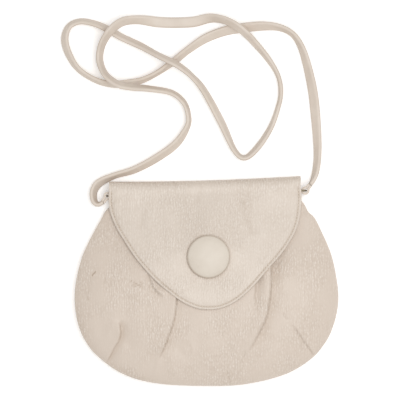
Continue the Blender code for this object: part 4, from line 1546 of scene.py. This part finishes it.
@dataclass
class Strap:
    """Thin flat strap, laid in loose loops behind the bag.

    Each point of the route is X, Y and Z in millimetres and the strap's roll in degrees: 0 lies flat and
    90 stands on its edge.
    """

    width: float = 9.4 * MM
    thickness: float = 3.5 * MM
    stations: int = 560
    painted_top_shade: float = 0.02
    painted_flank_shade: float = 0.55
    route: tuple[tuple[float, float, float, float], ...] = (
        (-92.5, 70.6, 7.6, 90), (-96.0, 68.6, 7.6, 82), (-99.4, 69.6, 7.4, 70), (-101.2, 74.2, 6.8, 60),
        (-100.8, 81.0, 6.0, 52), (-95.9, 87.8, 5.0, 45), (-82.9, 94.1, 4.6, 66), (-64.0, 99.8, 4.6, 57),
        (-43.4, 110.8, 4.6, 48), (-26.7, 123.4, 4.6, 50), (-17.0, 138.5, 4.6, 72), (-16.3, 148.6, 4.6, 75),
        (-20.4, 160.0, 4.8, 73), (-31.5, 168.6, 6.0, 70), (-51.3, 172.0, 12.0, 66), (-68.0, 173.4, 17.4, 60),
        (-80.0, 176.4, 17.4, 58), (-90.5, 184.8, 13.6, 62), (-95.6, 197.0, 6.0, 60), (-94.4, 209.0, 9.0, 58),
        (-89.8, 218.5, 15.6, 52), (-83.6, 226.2, 16.6, 46), (-74.0, 232.4, 10.0, 40), (-60.0, 233.9, 4.0, 40),
        (-43.5, 231.9, 2.6, 4), (-27.4, 231.4, 2.6, 0), (-11.1, 232.2, 2.6, 6), (3.0, 235.4, 5.0, 36),
        (15.5, 233.6, 11.4, 52), (26.5, 228.2, 16.0, 54), (35.0, 221.4, 13.6, 56), (43.9, 212.3, 6.0, 62),
        (55.6, 198.3, 4.8, 72), (64.2, 183.6, 4.8, 84), (66.6, 169.0, 4.8, 82), (64.0, 155.0, 4.8, 80),
        (57.4, 137.2, 4.8, 72), (45.9, 119.8, 4.8, 67), (34.5, 110.2, 4.8, 74), (25.1, 116.9, 4.8, 74),
        (13.4, 141.7, 4.8, 55), (-2.0, 170.0, 6.0, 62), (-13.0, 183.1, 12.0, 70), (-22.6, 190.9, 17.0, 64),
        (-31.2, 195.9, 17.4, 62), (-44.2, 202.3, 12.6, 66), (-59.3, 210.6, 5.4, 60), (-75.6, 218.1, 4.8, 58),
        (-87.2, 224.8, 4.8, 58), (-100.2, 230.5, 4.8, 66), (-113.6, 232.4, 4.8, 68), (-123.6, 227.4, 4.8, 65),
        (-127.0, 215.6, 4.8, 56), (-122.7, 201.4, 4.8, 60), (-113.8, 188.8, 4.8, 72), (-98.0, 179.2, 4.8, 72),
        (-83.3, 176.2, 4.8, 60), (-70.0, 177.2, 4.8, 58), (-56.8, 180.1, 4.8, 68), (-42.7, 187.1, 4.8, 74),
        (-28.1, 197.6, 4.8, 58), (-16.4, 206.9, 4.8, 56), (-1.4, 216.9, 4.6, 40), (15.0, 223.4, 4.0, 34),
        (31.0, 226.5, 4.0, 32), (49.0, 228.3, 4.2, 36), (63.9, 227.3, 4.6, 60), (76.0, 222.0, 4.8, 70),
        (83.6, 212.2, 4.8, 64), (89.4, 196.2, 4.6, 48), (94.7, 172.9, 4.0, 36), (97.3, 152.9, 4.0, 33),
        (99.3, 126.0, 4.4, 46), (99.4, 111.0, 4.8, 57), (98.4, 101.0, 5.8, 60), (97.0, 94.8, 6.8, 66),
        (95.2, 89.8, 7.4, 78), (92.9, 86.1, 7.6, 90),
    )

    def path(self) -> np.ndarray:
        """Evenly spaced places along the route, with the roll at each.

        Returns:
            Rows of X, Y, Z in metres and the roll in radians.
        """
        fine = smooth_path(self.route)
        fine[:, :3] *= MM
        fine[:, 3] = np.radians(fine[:, 3])
        run = run_along(fine[:, :3])
        at = np.linspace(0.0, run[-1], self.stations)
        rows = np.stack([np.interp(at, run, column) for column in fine.T], axis=-1)
        # Its middle stays high enough for its lower edge to clear the floor, and rises and falls smoothly.
        roll = rows[:, 3]
        half = (np.abs(np.sin(roll)) * self.width + np.abs(np.cos(roll)) * self.thickness) / 2.0
        rows[:, 2] = np.maximum(rows[:, 2], half + 0.15 * MM)
        kernel = np.hanning(15) / np.hanning(15).sum()
        padded = np.concatenate([np.full(7, rows[0, 2]), rows[:, 2], np.full(7, rows[-1, 2])])
        rows[:, 2] = np.maximum(np.convolve(padded, kernel, "valid"), half + 0.1 * MM)
        return rows

    def section(self) -> list[tuple[float, float]]:
        """Outline of the strap's section: a thin bar with full round edges.

        Returns:
            Places across and up, in metres.
        """
        half, high = self.width / 2.0, self.thickness / 2.0
        turns = [-math.pi / 2 + math.pi * i / 6 for i in range(7)]
        right = [(half - high + high * math.cos(a), high * math.sin(a)) for a in turns]
        across = [(x, high * 1.04) for x in (0.6 * (half - high), 0.0, -0.6 * (half - high))]
        left = [(-x, -y) for x, y in right]
        return right + across + left + [(-x, -y) for x, y in across]

    def build(self, leather: bpy.types.Material, eyes: list[bpy.types.Object]) -> None:
        """Makes the strap.

        Args:
            leather: its finish.
            eyes: the sewn ends; not used.
        """
        rows = self.path()
        section = self.section()
        straight = self.width / 2.0 - self.thickness / 2.0
        outward = [Vector((math.copysign(max(abs(a) - straight, 0.0), a), b)).normalized()
                   for a, b in section]
        ahead = np.gradient(rows[:, :3], axis=0)
        bm = bmesh.new()
        rings, facing_up = [], []
        for place, way in zip(rows, ahead):
            forward = Vector(way).normalized()
            across = Vector((0, 0, 1)).cross(forward).normalized()
            above = forward.cross(across)
            turn = Matrix.Rotation(place[3], 3, forward)
            across, above = turn @ across, turn @ above
            centre = Vector(place[:3])
            rings.append([bm.verts.new(centre + across * a + above * b) for a, b in section])
            facing_up += [(across * a + above * b).z for a, b in outward]
        for ring, following in zip(rings, rings[1:]):
            sides = [bm.edges.get(pair) or bm.edges.new(pair)
                     for loop in (ring, following) for pair in zip(loop, loop[1:] + loop[:1])]
            bmesh.ops.bridge_loops(bm, edges=sides)
        for ring in (rings[0], rings[-1]):
            bm.faces.new(ring)
        bmesh.ops.recalc_face_normals(bm, faces=bm.faces)
        mesh = baked(bm, "strap_leather")
        # Painted shade: its flanks are drawn darker than its top, where light hardly reaches.
        ink = [self.painted_top_shade + self.painted_flank_shade * (1.0 - max(0.0, up)) ** 1.6 for up in facing_up]
        shade(mesh, "fold", np.array(ink))
        piece = finish_piece(mesh, POUCH, leather, ["strap"])


# The studio


@dataclass
class Studio:
    """Pale floor, soft light and the camera straight above."""

    distance: float = 5.0
    key_power: float = 7.7
    ambient: float = 0.60
    daylight: tuple[float, float, float, float] = (1.0, 1.0, 0.99, 1.0)

    def build(self) -> None:
        """Makes the floor, the lights and the camera."""
        bm = bmesh.new()
        bmesh.ops.create_grid(bm, x_segments=1, y_segments=1, size=3.0)
        bmesh.ops.translate(bm, verts=bm.verts, vec=(0.0, 0.0, -0.0002))
        mesh = baked(bm, "floor")
        mesh.materials.append(GlowingPaper("white_paper_sweep").build())
        put("floor", mesh)
        world = bpy.data.worlds.new("studio")
        world.use_nodes = True
        sky = NodeKit(world.node_tree)
        sky.feed(sky.tree.nodes["Background"], {"Color": self.daylight, "Strength": self.ambient})
        bpy.context.scene.world = world
        for name, place, size, power in (
            ("key_softbox", (0.30, 0.15, 1.5), 0.9, self.key_power),
            ("fill_softbox", (0.04, -0.34, 1.5), 1.2, self.key_power * 0.50),
        ):
            light = bpy.data.lights.new(name, "AREA")
            light.size, light.energy = size, power
            lamp = put(name, light)
            lamp.location = place
            lamp.rotation_euler = (-Vector(place)).to_track_quat("-Z", "Y").to_euler()
        lens = bpy.data.cameras.new("camera")
        lens.sensor_width = 36.0
        lens.lens = lens.sensor_width * self.distance / PICTURE_WIDTH
        camera = put("camera", lens)
        camera.location = (*PICTURE_CENTRE, self.distance)
        bpy.context.scene.camera = camera
        bpy.context.scene.view_settings.view_transform = "Standard"


def main() -> None:
    """Builds the whole dressed bag over its frame."""
    logging.basicConfig(level=logging.INFO, format="%(name)s: %(message)s")
    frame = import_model()
    Studio().build()
    trim = SmoothLeather("pared_leather_trim", colour="dccfc2").build()
    brass = AgedMetal("aged_brass", colour="b89a68", dull="7a6340").build()
    ring = AgedMetal("pale_brass_ring", colour="bfb39a", dull="857a66").build()
    steel = AgedMetal("zinc_plated_steel", colour="a9a8a4", dull="77756f", roughness=0.35).build()
    eyes = [StrapEnd(Side.LEFT, 232.0).build(trim, ring), StrapEnd(Side.RIGHT, 50.0).build(trim, ring)]
    Strap().build(SmoothLeather("strap_leather", colour="dfd3c7", deep="a8937d").build(), eyes)
    pouch = Pouch(PouchShape())
    pouch.build(PebbledLeather("pebbled_leather").build(), WovenLining().build())
    flap = Flap(pouch)
    # The flap's leather is paler than the front's: partly its own tone, partly painted light that offsets the
    # shade on its slope.
    flap.build(PebbledLeather("flap_leather", colour="ded2c6", quiet=0.5).build(),
               SmoothLeather("flap_facing", colour="d4c7b9").build(), WaxedThread().build(),
               SmoothLeather("raw_needle_holes", colour="bba894", deep="9b8671").build())
    CoveredButton().build(SmoothLeather("button_leather", colour="dcd2c5").build(), steel, frame)
    for node in ("snap_socket", "snap_stud"):
        repaint(frame, node, brass)


if __name__ == "__main__":
    main()
